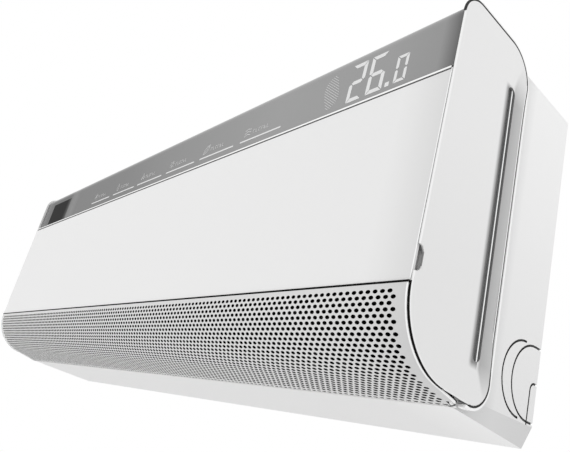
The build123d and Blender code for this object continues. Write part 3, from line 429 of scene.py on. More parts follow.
def shadeFlank():
    tree, socket, colour = baseOf("capWhite")
    past = behindFlankLine(tree)
    ends = greyAlong(tree, objectAxis(tree, "Z"), flank["flankEnds"])
    strength = maths(tree, "MULTIPLY", spread(tree, past, 0.0, flank["soft"] * mm), ends)
    colour = mixColours(tree, strength, colour, greyAlong(tree, past, flank["below"]))
    # painted shade: the cap darkens a little towards the slot's front edge
    beside = greyAlong(tree, objectAxis(tree, "Z"), flank["slotEnds"])
    amount = maths(tree, "MULTIPLY", beside, maths(tree, "LESS_THAN", past, 0.0))
    feed(tree, mixColours(tree, amount, colour, greyAlong(tree, past, flank["ahead"]), "MULTIPLY"), socket)


besideRim = {"share": 0.8, "stops": [(-91, 226), (-80, 232), (-62, 255)]}


def shadeBesideRim():
    # painted shadow: the casing's side wall is a little greyer where the cap's rim stands over it
    tree, socket, colour = baseOf("sideWhite")
    shadow = greyAlong(tree, objectAxis(tree, "Y"), besideRim["stops"])
    feed(tree, mixColours(tree, besideRim["share"], colour, shadow, "MULTIPLY"), socket)


shadeSurfaces()
shadeFlank()
shadeBesideRim()
undressed = set(nodes) - {name for names in dress.values() for name in names}
print("finishes built, nodes without one:", sorted(undressed))


def meshObject(name, bm, keys):
    mesh = bpy.data.meshes.new(name)
    bm.to_mesh(mesh)
    bm.free()
    for key in keys:
        mesh.materials.append(finishes[key])
    return newObject(name, mesh)


def addPiece(name, bm, body, keys):
    piece = meshObject(name, bm, keys)
    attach(piece, body)
    return piece


def pourInto(bm, other):
    # adds another bmesh's faces and frees it
    mesh = bpy.data.meshes.new("poured")
    other.to_mesh(mesh)
    other.free()
    bm.from_mesh(mesh)
    bpy.data.meshes.remove(mesh)


def roundEdges(bm, edges, width, segments):
    bmesh.ops.bevel(bm, geom=edges, offset=width, offset_type="OFFSET", segments=segments, profile=0.5,
                    affect="EDGES", clamp_overlap=True, material=-1)


def roundLoop(bm, sides, radius, matrix):
    made = bmesh.ops.create_circle(bm, segments=sides, radius=radius, matrix=matrix)
    return list(dict.fromkeys(edge for vert in made["verts"] for edge in vert.link_edges))


def shadeSmooth(bm, degrees):
    # smooth all over but for edges sharper than this
    for face in bm.faces:
        face.smooth = True
    for edge in bm.edges:
        edge.smooth = len(edge.link_faces) == 2 and edge.calc_face_angle(0) < math.radians(degrees)


# Outer mouldings: a merged copy of the CAD shape with its sharp edges rounded a little

rounding = {"weld": 0.01, "flat": 0.4, "sharp": 32, "smooth": 40, "segments": 2}


def softened(name, body, keys, width, choose):
    bm = bmesh.new()
    bm.from_mesh(nodes[name].data)
    bmesh.ops.remove_doubles(bm, verts=bm.verts, dist=rounding["weld"] * mm)
    bmesh.ops.dissolve_limit(bm, angle_limit=math.radians(rounding["flat"]), verts=bm.verts, edges=bm.edges)
    sharp = math.radians(rounding["sharp"])
    edges = [edge for edge in bm.edges if len(edge.link_faces) == 2 and edge.calc_face_angle(0) > sharp]
    roundEdges(bm, edges, width * mm, rounding["segments"])
    shadeSmooth(bm, rounding["smooth"])
    for face in bm.faces:
        face.material_index = choose(face.calc_center_median() / mm, face.normal)
    piece = addPiece(name + "Soft", bm, body, keys)
    piece.modifiers.new("flatFaces", "WEIGHTED_NORMAL").keep_sharp = True
    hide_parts(name)


capZones = {
    "slotY": (-121, -97), "slotZ": (-152, 96), "slotLean": 0.5,
    "notchFront": -188, "notchZ": (-108, -86), "notchX": 474.8, "notchLean": 0.6,
    "edgeX": 474, "edgeLean": (0.25, 0.93),
}


def capFace(spot, normal):
    # painted shade darkens the slot's walls and the finger notch; the rounded edge is whiter as a painted
    # highlight
    lean = abs(normal.x)
    inSlot = within(spot.y, capZones["slotY"]) and within(spot.z, capZones["slotZ"])
    if inSlot and lean < capZones["slotLean"]:
        return 3
    inNotch = spot.y < capZones["notchFront"] and within(spot.z, capZones["notchZ"])
    if inNotch and lean < capZones["notchLean"] and abs(spot.x) < capZones["notchX"]:
        return 1
    return 2 if within(lean, capZones["edgeLean"]) and abs(spot.x) > capZones["edgeX"] else 0


caseZones = {
    "facetLean": 0.8, "facetDown": -0.2, "knockX": (466.5, 468.2), "knockFront": -62, "knockTop": -95,
    "sideLean": 0.9, "sideX": 467, "underDown": -0.6,
}


def caseFace(spot, normal):
    # painted shade: the low side facets greyer, the knock-out grooves dark, then the side walls and the
    # underside, which take shaded copies of the casing's white
    if abs(normal.x) > caseZones["facetLean"] and normal.z < caseZones["facetDown"]:
        return 1
    nearKnock = within(spot.x, caseZones["knockX"]) and spot.y > caseZones["knockFront"]
    if nearKnock and spot.z < caseZones["knockTop"]:
        return 2
    if normal.x * spot.x > 0 and abs(normal.x) > caseZones["sideLean"] and abs(spot.x) > caseZones["sideX"]:
        return 4
    return 3 if normal.z < caseZones["underDown"] else 0


panelZones = {"footDown": -0.8, "footTop": -113.5, "bevelUp": 0.3, "bevelFront": -0.3}


def panelFace(spot, normal):
    # painted highlight on the upper bevel; the lower edge is black as painted shadow of the gap
    if normal.z < panelZones["footDown"] and spot.z < panelZones["footTop"]:
        return 2
    return 1 if normal.z > panelZones["bevelUp"] and normal.y < panelZones["bevelFront"] else 0


grilleZones = {"ribX": 474.35, "ribLean": 0.6}


def grilleFace(spot, normal):
    # painted highlight on the top of the long rib; the rest is dark as painted shade
    return 1 if abs(spot.x) > grilleZones["ribX"] and abs(normal.x) > grilleZones["ribLean"] else 0


def plainFace(spot, normal):
    return 0


for name, keys, width, choose in (
        ("end_cap", ["capWhite", "notchGrey", "rimWhite", "slotGrey"], 0.3, capFace),
        ("cap_rim", ["edgeWhite"], 0.4, plainFace),
        ("slot_grille", ["slotGrey", "edgeWhite"], 0.1, grilleFace)):
    for side in ("right_", "left_"):
        softened(side + name, "root", keys, width, choose)
softened("front_panel", "panel", ["panelWhite", "edgeWhite", "sealBlack"], 0.3, panelFace)
softened("display_band", "panel", ["bandGlass"], 0.3, plainFace)
softened("sensor_window", "panel", ["windowGlass"], 0.2, plainFace)
softened("casing", "root", ["caseWhite", "facetGrey", "grooveGrey", "underWhite", "sideWhite"], 0.3, caseFace)
print("outer mouldings softened")

# The panel's slanted face, which the trims and the display lie on: its top and foot in Y and Z

slant = {"top": (-192.3, 324.5), "foot": (-196.0, 21.0)}


def panelFront(z):
    # how far forward the panel's face is at a drawing height
    (topY, topZ), (footY, footZ) = slant["top"], slant["foot"]
    return footY + (z - footZ) / (topZ - footZ) * (topY - footY)


def sweep(bm, rings):
    # a solid through a run of rings of points in mm, with a face on each end; gives back its faces
    rings = [[bm.verts.new(Vector(point)) for point in ring] for ring in rings]
    loops = [[bm.edges.new((ring[i - 1], ring[i])) for i in range(len(ring))] for ring in rings]
    faces = []
    for one, two in zip(loops[:-1], loops[1:]):
        faces += bmesh.ops.bridge_loops(bm, edges=one + two)["faces"]
    return faces + [bm.faces.new(rings[0]), bm.faces.new(rings[-1])]


def inRow(bm, low=(0, 0, plateZ)):
    # from the drawing's mm to the row frame's metres
    bmesh.ops.transform(bm, matrix=Matrix.Scale(mm, 4) @ Matrix.Translation(low), verts=bm.verts)
    bmesh.ops.recalc_face_normals(bm, faces=bm.faces)


# Lines round the end caps: dark bands of painted shade in the grooves and along the top, a black band of
# painted
# shadow in the seam by the skin, and a white lip of painted highlight on the flank. "corners" holds the cap's
# outline:
# Y, Z and radius. Each line has its reach outwards from that outline, and where it runs.

capLines = {
    "corners": [slant["top"] + (20,), (-92.6, 324.5, 32), (-85.2, 11.2, 20), slant["foot"] + (60,)],
    "arcStep": 6, "straight": 40.0, "straightPieces": 16,
    "groove": (-0.05, 1.4), "topLine": (-0.65, -0.05), "lip": (-1.1, -0.05), "seam": (-0.6, 0.25),
    "grooveX": 475.35, "depth": 1.4, "lipLift": 0.05,
    "sinkFrom": -120, "sinkZ": (36, 66), "riseZ": (270, 300), "flankX": (474.1, 474.4), "flankZ": (66, 266),
    "seamX": (472.7, 474.7), "seamTop": 80.0, "heelX": 474.35, "heelY": -111.0, "narrowY": -128.0,
    "rimFoot": 300, "topFoot": 302, "lipZ": (42, 302), "noseY": -170,
}


def capOutline(offset):
    # the cap's outline in Y and Z moved outwards, its corners rounded, as a closed run of points
    corners = capLines["corners"]
    points = []
    for k, (y, z, radius) in enumerate(corners):
        here = Vector((y, z))
        before = (Vector(corners[k - 1][:2]) - here).normalized()
        after = (Vector(corners[(k + 1) % 4][:2]) - here).normalized()
        half = before.angle(after) / 2
        centre = here + (before + after).normalized() * radius / math.sin(half)
        start = here + before * radius / math.tan(half) - centre
        end = here + after * radius / math.tan(half) - centre
        turn = start.angle_signed(end)
        steps = max(3, int(abs(math.degrees(turn)) / capLines["arcStep"]))
        first = math.atan2(start.y, start.x)
        for i in range(steps + 1):
            angle = first - turn * i / steps
            points.append(centre + Vector((math.cos(angle), math.sin(angle))) * (radius + offset))
    fine = []
    for a, b in zip(points, points[1:] + points[:1]):
        pieces = capLines["straightPieces"] if (b - a).length > capLines["straight"] else 1
        fine.extend(a.lerp(b, i / pieces) for i in range(pieces))
    return fine


def rimX(y, z):
    # the rim lies lower where the cap's rear flank falls away
    level = capLines["grooveX"]
    if y < capLines["sinkFrom"]:
        return level
    share = shareOf(z, *capLines["sinkZ"]) * shareOf(z, *reversed(capLines["riseZ"]))
    low, high = capLines["flankX"]
    return level + share * (low + (high - low) * shareOf(z, *capLines["flankZ"]) - level)


def grooveReach(y, z):
    return rimX(y, z) - capLines["depth"], rimX(y, z)


def lipReach(y, z):
    return rimX(y, z) - capLines["depth"], rimX(y, z) + capLines["lipLift"]


def seamReach(y, z):
    # painted shadow: the black band in the seam between the cap and the skin, which narrows into the groove
    # under the heel
    share = shareOf(y, capLines["narrowY"], capLines["heelY"])
    low, high = capLines["seamX"]
    return low + share * (capLines["heelX"] - low), high + share * (capLines["grooveX"] - high)


def alongRim(y, z):
    return z > capLines["rimFoot"] or y > capLines["heelY"]


def behindNose(y, z):
    return y > capLines["noseY"] and alongRim(y, z)


def alongTop(y, z):
    return z > capLines["topFoot"]


def alongFlank(y, z):
    return y > capLines["heelY"] and within(z, capLines["lipZ"])


def alongSkin(y, z):
    return z < capLines["seamTop"] and y < capLines["heelY"] + 1


def ribbon(name, side, offsets, reach, keep, key):
    # a band between two offsets of the cap's outline and two places in X, along the longest run kept
    runs, run = [], []
    for a, b in list(zip(*(capOutline(offset) for offset in offsets))) * 2:
        if keep(a.x, a.y):
            run.append((a, b))
        elif run:
            runs.append(run)
            run = []
    rings = []
    for a, b in max(runs, key=len):
        low, high = (side * x for x in reach(*a))
        rings.append([(x, p.x, p.y) for x, p in ((low, a), (high, a), (high, b), (low, b))])
    bm = bmesh.new()
    sweep(bm, rings)
    inRow(bm)
    addPiece(name, bm, "root", [key])


# painted shade in the groove and top lines, painted highlight on the flank lip, painted shadow in the seam
for side, label, keep in ((-1, "left", behindNose), (1, "right", alongRim)):
    ribbon(label + "Groove", side, capLines["groove"], grooveReach, keep, "grooveLine")
    ribbon(label + "TopLine", side, capLines["topLine"], grooveReach, alongTop, "grooveLine")
    ribbon(label + "FlankLip", side, capLines["lip"], lipReach, alongFlank, "rimWhite")
    ribbon(label + "Seam", side, capLines["seam"], seamReach, alongSkin, "sealBlack")
print("lines round the caps laid")


def strip(bm, ends, sections, index):
    # a bar along X with a section in Y and Z, which may taper to a second one
    rings = [[(x, y, z) for y, z in section] for x, section in zip(ends, sections)]
    for face in sweep(bm, rings):
        face.material_index = index


# Painted shadow of the gap between the white panel and the deflector: a black bar with a step in its back

gapSeal = {"half": 472.8, "front": -196.12, "foot": 75.8, "top": 77.1, "step": 0.7, "depth": 2}


def buildGapShadowBar(look):
    front, foot, top, step = look["front"], look["foot"], look["top"], look["step"]
    back = front + look["depth"]
    section = [(front, foot), (front, top), (front + step, top), (front + step, top - step),
               (back, top - step), (back, foot)]
    bm = bmesh.new()
    strip(bm, (-look["half"], look["half"]), (section, section), 0)
    inRow(bm)
    addPiece("gapSeal", bm, "deflector", ["sealBlack"])


buildGapShadowBar(gapSeal)

# The panel's trim: a bead under the band, bright as a painted highlight, dark lines of painted shadow under
# and over it that taper to the right, a black corner piece of painted shadow at the right end, the cover
# below, and a pale line of painted highlight down each end

panelTrim = {
    "half": 473.1, "leftEnd": 0.3, "rightEnd": 1.2, "cornerEnd": (1.15, 0.1), "cornerBack": 0.4,
    "beadFoot": 251.4, "beadRise": 4.0, "beadFace": 1.7, "proud": 0.3, "depth": 2.6, "beadSlope": 0.6,
    "lowLine": (2.3, 1.45), "lowProud": 0.06, "lineBack": 0.5,
    "highLine": (1.4, 0.5), "highAway": 0.1, "highProud": 0.12, "highBack": 0.3,
    "coverFoot": 4.0, "coverProud": (0.08, 0.03),
    "sideLine": (0.8, 0.05), "sideFoot": 78.6, "sideProud": 0.05, "sideBack": 0.8,
}


def buildPanelTrim(look):
    foot, half = look["beadFoot"], look["half"]
    top, front = foot + look["beadRise"], panelFront(look["beadFoot"])
    back, deep = front + look["depth"], front + look["lineBack"]
    across = (-half + look["leftEnd"], half - look["rightEnd"])
    bead = [(front - look["proud"], foot), (front - look["proud"], foot + look["beadFace"]),
            (back - look["beadSlope"], top), (back, top), (back, foot)]
    corner = [(y + look["cornerBack"], z) for y, z in bead]
    bm = bmesh.new()
    strip(bm, across, (bead, bead), 0)
    strip(bm, [half - end for end in look["cornerEnd"]], (corner, corner), 1)
    near = front - look["lowProud"]
    low = [[(near, foot - line), (near, foot), (deep, foot), (deep, foot - line)] for line in look["lowLine"]]
    strip(bm, across, low, 2)
    away = panelFront(top) + look["depth"] + look["highAway"]
    near, far = away - look["highProud"], away + look["highBack"]
    high = [[(near, top), (near, top + line), (far, top + line), (far, top)] for line in look["highLine"]]
    strip(bm, across, high, 2)
    coverFoot, (proudFoot, proudTop) = foot - look["coverFoot"], look["coverProud"]
    cover = [[(front - proudFoot, coverFoot), (front - proudTop, foot - line), (deep, foot - line),
              (deep, coverFoot)] for line in look["lowLine"]]
    strip(bm, across, cover, 3)
    z0, z1 = look["sideFoot"], foot
    front0, front1 = panelFront(z0), panelFront(z1)
    near, far = look["sideProud"], look["sideBack"]
    edge = [(front0 - near, z0), (front1 - near, z1), (front1 + far, z1), (front0 + far, z0)]
    for side in (-1, 1):
        strip(bm, sorted(side * (half - end) for end in look["sideLine"]), (edge, edge), 0)
    inRow(bm)
    addPiece("panelTrim", bm, "panel", ["edgeWhite", "sealBlack", "shadowGrey", "panelWhite"])


buildPanelTrim(panelTrim)
print("trims laid")

# The deflector's perforated skin: one punched cell, repeated, then laid on the curved section

skin = {
    "columns": 137, "rows": 26, "pitch": 6.73, "rowStep": 4.35, "firstRow": 5.5,
    "holeAcross": 2.42, "holeDown": 1.62, "holeDepth": 1.5, "holeSides": 8,
    "half": 472.6, "wall": 2.2, "round": 60.0, "centre": (-136.0, 75.93), "slope": -0.22,
    "corner": 10.0, "cornerCuts": 7, "cornerReach": 8, "edge": 0.4, "smooth": 38, "weld": 0.02,
    "slot": (464.9, 469.1, 5.7), "beyond": 5,
    "lip": (-116.3, 13.23), "lipRadius": 3.0, "lipBevel": 2.2, "lipEnd": 0.3,
}


def measureSkin(look):
    # where the round starts and ends, how long it is, and the skin's whole way down
    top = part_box("deflector_skin")[1].z / mm - plateZ
    look["start"] = math.pi - math.asin((top - look["centre"][1]) / look["round"])
    look["end"] = 1.5 * math.pi + math.atan(look["slope"])
    look["bend"] = (look["end"] - look["start"]) * look["round"]
    footY = look["centre"][0] + math.cos(look["end"]) * look["round"]
    look["length"] = look["bend"] + (look["lip"][0] - footY) / -math.sin(look["end"])
    look["fieldHalf"] = (look["columns"] + 1) / 2 * look["pitch"]


def layOnSection(bm, look):
    # x stays, y is the way down the skin and z the way out of it
    for vert in bm.verts:
        x, down, out = vert.co
        angle = look["start"] + min(down, look["bend"]) / look["round"]
        radius = look["round"] + out
        run = max(0.0, down - look["bend"])
        y = look["centre"][0] + radius * math.cos(angle) + run * -math.sin(look["end"])
        z = look["centre"][1] + radius * math.sin(angle) + plateZ + run * math.cos(look["end"])
        vert.co = Vector((x, y, z)) * mm


def sinkEdges(bm, edges, depth):
    # walls from the flat sheet down to a depth, and the face that closes them there
    made = bmesh.ops.extrude_edge_only(bm, edges=edges)["geom"]
    low = {item for item in made if isinstance(item, bmesh.types.BMVert)}
    bmesh.ops.translate(bm, vec=(0, 0, -depth), verts=list(low))
    foot = [item for item in made if isinstance(item, bmesh.types.BMEdge) and set(item.verts) <= low]
    walls = [item for item in made if isinstance(item, bmesh.types.BMFace)]
    return walls, bmesh.ops.contextual_create(bm, geom=foot)["faces"]


def punchedCell(bm, look, x, down):
    # a cell with eight edge points round an eight-sided blind hole, whose walls and floor are dark as painted
    # shade
    halfX, halfY = look["pitch"] / 2, look["rowStep"] / 2
    spots = [(1, 0), (1, 1), (0, 1), (-1, 1), (-1, 0), (-1, -1), (0, -1), (1, -1)]
    ring = [bm.verts.new((x + a * halfX, down + b * halfY, 0)) for a, b in spots]
    shape = Matrix.Translation((x, down, 0)) @ Matrix.Diagonal((look["holeAcross"], look["holeDown"], 1, 1))
    holeEdges = roundLoop(bm, look["holeSides"], 1, shape)
    ringEdges = [bm.edges.new((ring[i], ring[i - 1])) for i in range(len(ring))]
    bmesh.ops.bridge_loops(bm, edges=holeEdges + ringEdges)
    walls, floor = sinkEdges(bm, holeEdges, look["holeDepth"])
    for faces, index in ((walls, 1), (floor, 2)):
        for face in faces:
            face.material_index = index


def repeat(bm, step, count):
    # copies everything count - 1 times along a step
    geom = bm.verts[:] + bm.edges[:] + bm.faces[:]
    bmesh.ops.spin(bm, geom=geom, cent=(0, 0, 0), axis=(0, 0, 1), dvec=step, angle=0, steps=count - 1,
                   use_duplicate=True)


def flatPatch(bm, x0, x1, down0, down1):
    corners = ((x0, down0), (x1, down0), (x1, down1), (x0, down1))
    bm.faces.new([bm.verts.new((x, down, 0)) for x, down in corners])


def sheetOfCells(look):
    # rows of two kinds, one shifted by half a pitch, and half cells that even out their ends
    bm = bmesh.new()
    halfX, halfY, end = look["pitch"] / 2, look["rowStep"] / 2, look["fieldHalf"]
    for count, down in ((look["columns"], look["firstRow"]),
                        (look["columns"] + 1, look["firstRow"] + look["rowStep"])):
        row = bmesh.new()
        punchedCell(row, look, -(count - 1) / 2 * look["pitch"], down)
        repeat(row, (look["pitch"], 0, 0), count)
        if count == look["columns"]:
            for side in (-1, 1):
                flatPatch(row, side * (end - halfX), side * end, down - halfY, down + halfY)
        pourInto(bm, row)
    repeat(bm, (0, 2 * look["rowStep"], 0), look["rows"] // 2)
    return bm


def nearFaces(bm, x0, x1, down0, down1):
    # faces whose middle lies in a patch of the flat sheet, given by two places in X in either order
    across = sorted((x0, x1))
    spots = [(face, face.calc_center_median()) for face in bm.faces]
    return [face for face, spot in spots if within(spot.x, across) and within(spot.y, (down0, down1))]


def cutAcross(bm, faces, spot, way, clear=False, near=0.001):
    # cuts faces of the flat sheet along a plane and gives back those that are left
    faces = [face for face in faces if face.is_valid]
    parts = dict.fromkeys(part for face in faces for part in [face, *face.edges, *face.verts])
    cut = bmesh.ops.bisect_plane(bm, geom=list(parts), dist=near, plane_co=spot, plane_no=way,
                                 clear_outer=clear)
    return [item for item in cut["geom"] if isinstance(item, bmesh.types.BMFace)]


def cutSlots(bm, look):
    # the slots in which the casing's bearings stand, between the last holes and the ends
    inner, outer, deep = look["slot"]
    foot = look["length"] + look["beyond"]
    for side in (-1, 1):
        for spot, way in (((side * inner, 0, 0), (1, 0, 0)), ((side * outer, 0, 0), (1, 0, 0)),
                          ((0, look["length"] - deep, 0), (0, 1, 0))):
            near = nearFaces(bm, side * (look["fieldHalf"] - 0.01), side * (look["half"] + 1),
                             look["length"] - look["corner"], foot)
            cutAcross(bm, near, spot, way)
        gone = nearFaces(bm, side * inner, side * outer, look["length"] - deep, foot)
        bmesh.ops.delete(bm, geom=gone, context="FACES")


def cornerCentre(look):
    return look["half"] - look["corner"], look["length"] + look["lipRadius"] - look["corner"]


def roundCorners(bm, look):
    # both lower corners are cut off along tangents of their round
    centreX, centreDown = cornerCentre(look)
    cuts, reach = look["cornerCuts"], look["cornerReach"]
    for side in (-1, 1):
        near = nearFaces(bm, side * (centreX - reach), side * (look["half"] + 1), centreDown - reach,
                         look["length"] + look["beyond"])
        for k in range(cuts):
            angle = math.radians(90 * (k + 0.5) / cuts)
            way = Vector((side * math.cos(angle), math.sin(angle), 0))
            spot = Vector((side * centreX, centreDown, 0)) + way * look["corner"]
            near = cutAcross(bm, near, spot, way, True)


def thicken(bm, look, lines):
    # the rim goes back by the wall's thickness, and a plain back closes it, cut in strips so that it can bend
    rim = [edge for edge in bm.edges if edge.is_boundary]
    back = sinkEdges(bm, rim, look["wall"])[1]
    for down in lines:
        back = cutAcross(bm, back, (0, down, 0), (0, 1, 0), near=0.01)
    roundEdges(bm, [edge for edge in rim if edge.is_valid], look["edge"], 2)


def blackenEnds(bm, look):
    # painted shadow: the end walls, which stand in the narrow gap beside the caps, are made black
    for face in bm.faces:
        spot = face.calc_center_median()
        if within(spot.z, (-look["wall"] + 0.1, -0.3)):
            low = spot.y > look["length"] - look["corner"] / 2
            if abs(spot.x) > look["half"] - (look["corner"] - 1 if low else 0.3):
                face.material_index = 3


def addLip(bm, look):
    # the rolled lip along the lower edge, a round bead that the skin runs into
    bead = bmesh.new()
    radius, half = look["lipRadius"] * mm, (look["slot"][0] - look["lipEnd"]) * mm
    bmesh.ops.create_cone(bead, cap_ends=True, segments=24, radius1=radius, radius2=radius, depth=2 * half)
    ends = [edge for face in bead.faces if len(face.verts) > 4 for edge in face.edges]
    roundEdges(bead, ends, look["lipBevel"] * mm, 4)
    spot = Matrix.Translation(Vector((0, look["lip"][0], look["lip"][1] + plateZ)) * mm)
    bmesh.ops.transform(bead, matrix=spot @ Matrix.Rotation(math.radians(90), 4, "Y"), verts=bead.verts)
    pourInto(bm, bead)


# Thin lines on the skin: a bright one down each end as a painted highlight, and a grey one of painted shadow
# round each lower corner

borders = {
    "topGap": 0.6, "step": 4, "cornerSteps": 12, "cornerTurn": 92, "cornerFrom": 0.25, "widenOver": 60,
    "sunk": -0.3,
    "skinEndEdge": {"key": "edgeWhite", "wide": 1.3, "grow": 0.3, "lift": 0.12, "past": 0.08, "deep": -1.0},
    "skinCornerLine": {"key": "shadowGrey", "wide": 1.2, "grow": 0, "lift": 0.16, "past": 0, "deep": -0.3},
}


def borderPath(look, side):
    # down the skin's end and round its lower corner: places, ways out of the skin and how far round
    centreX, centreDown = cornerCentre(look)
    steps, turns = int(centreDown / borders["step"]), borders["cornerSteps"]
    path = []
    for k in range(steps):
        spot = Vector((side * look["half"], borders["topGap"] + centreDown * k / steps))
        path.append((spot, Vector((side, 0)), 0.0))
    for k in range(turns + 1):
        angle = math.radians(borders["cornerTurn"] * k / turns)
        way = Vector((side * math.cos(angle), math.sin(angle)))
        path.append((Vector((side * centreX, centreDown)) + way * look["corner"], way, k / turns))
    return path


def skinBorder(look, name, atCorner):
    line = borders[name]
    sunk, lift = borders["sunk"], line["lift"]
    bm = bmesh.new()
    for side in (-1, 1):
        rings = []
        for spot, way, turned in borderPath(look, side):
            if atCorner == (turned > borders["cornerFrom"]):
                wide = line["wide"] + line["grow"] * min(1.0, spot.y / borders["widenOver"])
                inner, outer = spot - way * wide, spot + way * line["past"]
                rings.append([(*inner, sunk), (*inner, lift), (*outer, lift), (*outer, line["deep"])])
        sweep(bm, rings)
    layOnSection(bm, look)
    bm.normal_update()
    bmesh.ops.recalc_face_normals(bm, faces=bm.faces)
    addPiece(name, bm, "deflector", [line["key"]])


def buildSkin(look):
    measureSkin(look)
    bm = sheetOfCells(look)
    half = look["half"]
    fieldTop = look["firstRow"] - look["rowStep"] / 2
    lines = [fieldTop + i * look["rowStep"] for i in range(look["rows"] + 1)]
    print("skin length", round(look["length"], 2), "field foot", round(lines[-1], 2))
    for side in (-1, 1):
        for upper, lower in zip(lines[:-1], lines[1:]):
            flatPatch(bm, side * look["fieldHalf"], side * half, upper, lower)
    flatPatch(bm, -half, half, 0, fieldTop)
    bmesh.ops.remove_doubles(bm, verts=bm.verts, dist=look["weld"])
    cutSlots(bm, look)
    roundCorners(bm, look)
    thicken(bm, look, lines)
    blackenEnds(bm, look)
    layOnSection(bm, look)
    addLip(bm, look)
    skinBorder(look, "skinEndEdge", False)
    skinBorder(look, "skinCornerLine", True)
    bmesh.ops.recalc_face_normals(bm, faces=bm.faces)
    shadeSmooth(bm, look["smooth"])
    piece = addPiece("perforatedSkin", bm, "deflector", ["skinWhite", "holeWall", "holeDark", "sealBlack"])
    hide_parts("deflector_skin")
    print("perforated skin laid,", len(piece.data.polygons), "faces")


buildSkin(skin)

# What the band shows: figures, a hatched mark, and six lines with a mark over each

display = {
    "lift": 0.25, "bandBack": 2.8,
    "figures": [("2", 355.4, 373.8, 260.5, 302.0), ("6", 379.0, 397.8, 260.8, 302.0),
                ("0", 410.4, 423.0, 261.6, 289.6)],
    "segments": {"2": "abged", "6": "afgedc", "0": "abcdef"},
    "tall": 35, "stroke": 4.1, "smallStroke": 3.0, "gap": 0.55, "dot": (401.3, 405.8, 261.4, 266.0),
    "lines": [(-226.0, -157.5), (-143.4, -72.7), (-61.3, 9.4), (22.4, 93.0), (106.4, 177.4), (190.7, 261.7)],
    "lineFoot": 264.1, "lineTop": 265.9,
}


def onBand(x, z, lift=0.0):
    # a place on the band's face, in metres
    return Vector((x, panelFront(z) + display["bandBack"] - lift, z + plateZ)) * mm


def flatShape(bm, points):
    # an outline in X and Z on the band's face, given a little thickness
    face = bm.faces.new([bm.verts.new(onBand(x, z, display["lift"])) for x, z in points])
    made = bmesh.ops.extrude_face_region(bm, geom=[face])
    verts = [item for item in made["geom"] if isinstance(item, bmesh.types.BMVert)]
    bmesh.ops.translate(bm, vec=(0, display["lift"] * mm, 0), verts=verts)


def box(bm, x0, x1, z0, z1):
    flatShape(bm, [(x0, z0), (x1, z0), (x1, z1), (x0, z1)])


def figureSegments(sign, x0, x1, z0, z1):
    # seven bars with slanted ends: an upper and a left one, their mirror images and a middle one
    t = display["stroke"] if z1 - z0 > display["tall"] else display["smallStroke"]
    g, middle = display["gap"], (z0 + z1) / 2
    above, left, right = middle + t / 2, x0 + t, x1 - t
    upper = [(x0 + g, z1), (x1 - g, z1), (right - g, z1 - t), (left + g, z1 - t)]
    leftBar = [(x0, z1 - g), (left, z1 - t - g), (left, above + g), (x0 + t / 2, middle + g), (x0, above)]

    def mirrored(points, across, down):
        return [(x0 + x1 - x if across else x, z0 + z1 - z if down else z) for x, z in points]

    middleBar = [(x0 + t / 2 + g, middle), (left + g, above), (right - g, above), (x1 - t / 2 - g, middle),
                 (right - g, middle - t / 2), (left + g, middle - t / 2)]
    bars = {"a": upper, "d": mirrored(upper, False, True), "g": middleBar, "f": leftBar,
            "b": mirrored(leftBar, True, False), "e": mirrored(leftBar, False, True),
            "c": mirrored(leftBar, True, True)}
    return [bars[letter] for letter in display["segments"][sign]]


def buildFigures():
    bm = bmesh.new()
    for figure in display["figures"]:
        for points in figureSegments(*figure):
            flatShape(bm, points)
    box(bm, *display["dot"])
    for start, end in display["lines"]:
        box(bm, start, end, display["lineFoot"], display["lineTop"])
    bmesh.ops.recalc_face_normals(bm, faces=bm.faces)
    addPiece("displayFigures", bm, "panel", ["glow"])


# Small print: lengths and places of the marks are shares of half their size

marks = {
    "along": 11, "foot": 270.0, "size": 12.0, "outline": 0.75,
    "kinds": ["flake", "drop", "fan", "sun", "leaf", "wave"],
    "drop": [(0, 1), (-0.5, 0), (-0.35, -0.7), (0, -1), (0.35, -0.7), (0.5, 0)],
    "blade": [(0, 0.4), (-0.3, 0), (0, -0.4), (0.3, 0)], "bladeAway": 0.55,
    "ring": (0.55, 0.4), "ringSides": 20, "ray": (0.85, 0.3), "thin": 0.7,
    "leaf": [(-1, -1), (-0.8, 0), (-0.1, 0.7), (0.9, 1), (0.7, 0), (0, -0.7)],
    "waves": [(-0.5, 24), (0.4, -14)], "waveStep": 0.6, "waveThick": 0.8,
}
caption = {
    "along": 21, "up": 4.5, "letter": 4.6, "pitch": 1.05, "thick": 0.6, "armMiddle": 0.3, "signs": "ABCADB",
    "arms": {"A": [(1, 0.6)], "B": [(-1, 0.6)], "C": [(1, 0.6), (-1, 0.6)], "D": [(-1, 0.6), (0, 0.5)]},
}
hatch = {
    "x": 332.0, "foot": 262.0, "top": 300.0, "count": 15, "short": 3, "long": 24.0, "angle": -38.0,
    "thick": 0.5, "lean": 4.0,
}


def bar(bm, x, z, length, width, degrees):
    # a short straight stroke centred on a point
    angle = math.radians(degrees)
    along = Vector((math.cos(angle), math.sin(angle)))
    across = Vector((-along.y, along.x)) * width / 2
    along = along * length / 2
    spot = Vector((x, z))
    corners = (-along - across, along - across, along + across, -along + across)
    flatShape(bm, [tuple(spot + corner) for corner in corners])


def outlined(bm, x, z, size, shape):
    # a closed line through points given as shares of a size round a centre
    points = [Vector(point) * size for point in shape]
    width = marks["outline"]
    for a, b in zip(points, points[1:] + points[:1]):
        along = b - a
        bar(bm, x + (a.x + b.x) / 2, z + (a.y + b.y) / 2, along.length + width, width,
            math.degrees(math.atan2(along.y, along.x)))


def ringShape(bm, x, z, outer, inner):
    # a flat ring on the band's face
    turn = Matrix.Translation(onBand(x, z, display["lift"])) @ Matrix.Rotation(math.radians(90), 4, "X")
    circles = [roundLoop(bm, marks["ringSides"], radius * mm, turn) for radius in (outer, inner)]
    bmesh.ops.bridge_loops(bm, edges=circles[0] + circles[1])


def atTurn(x, z, away, degrees):
    turn = math.radians(degrees)
    return x + away * math.cos(turn), z + away * math.sin(turn)


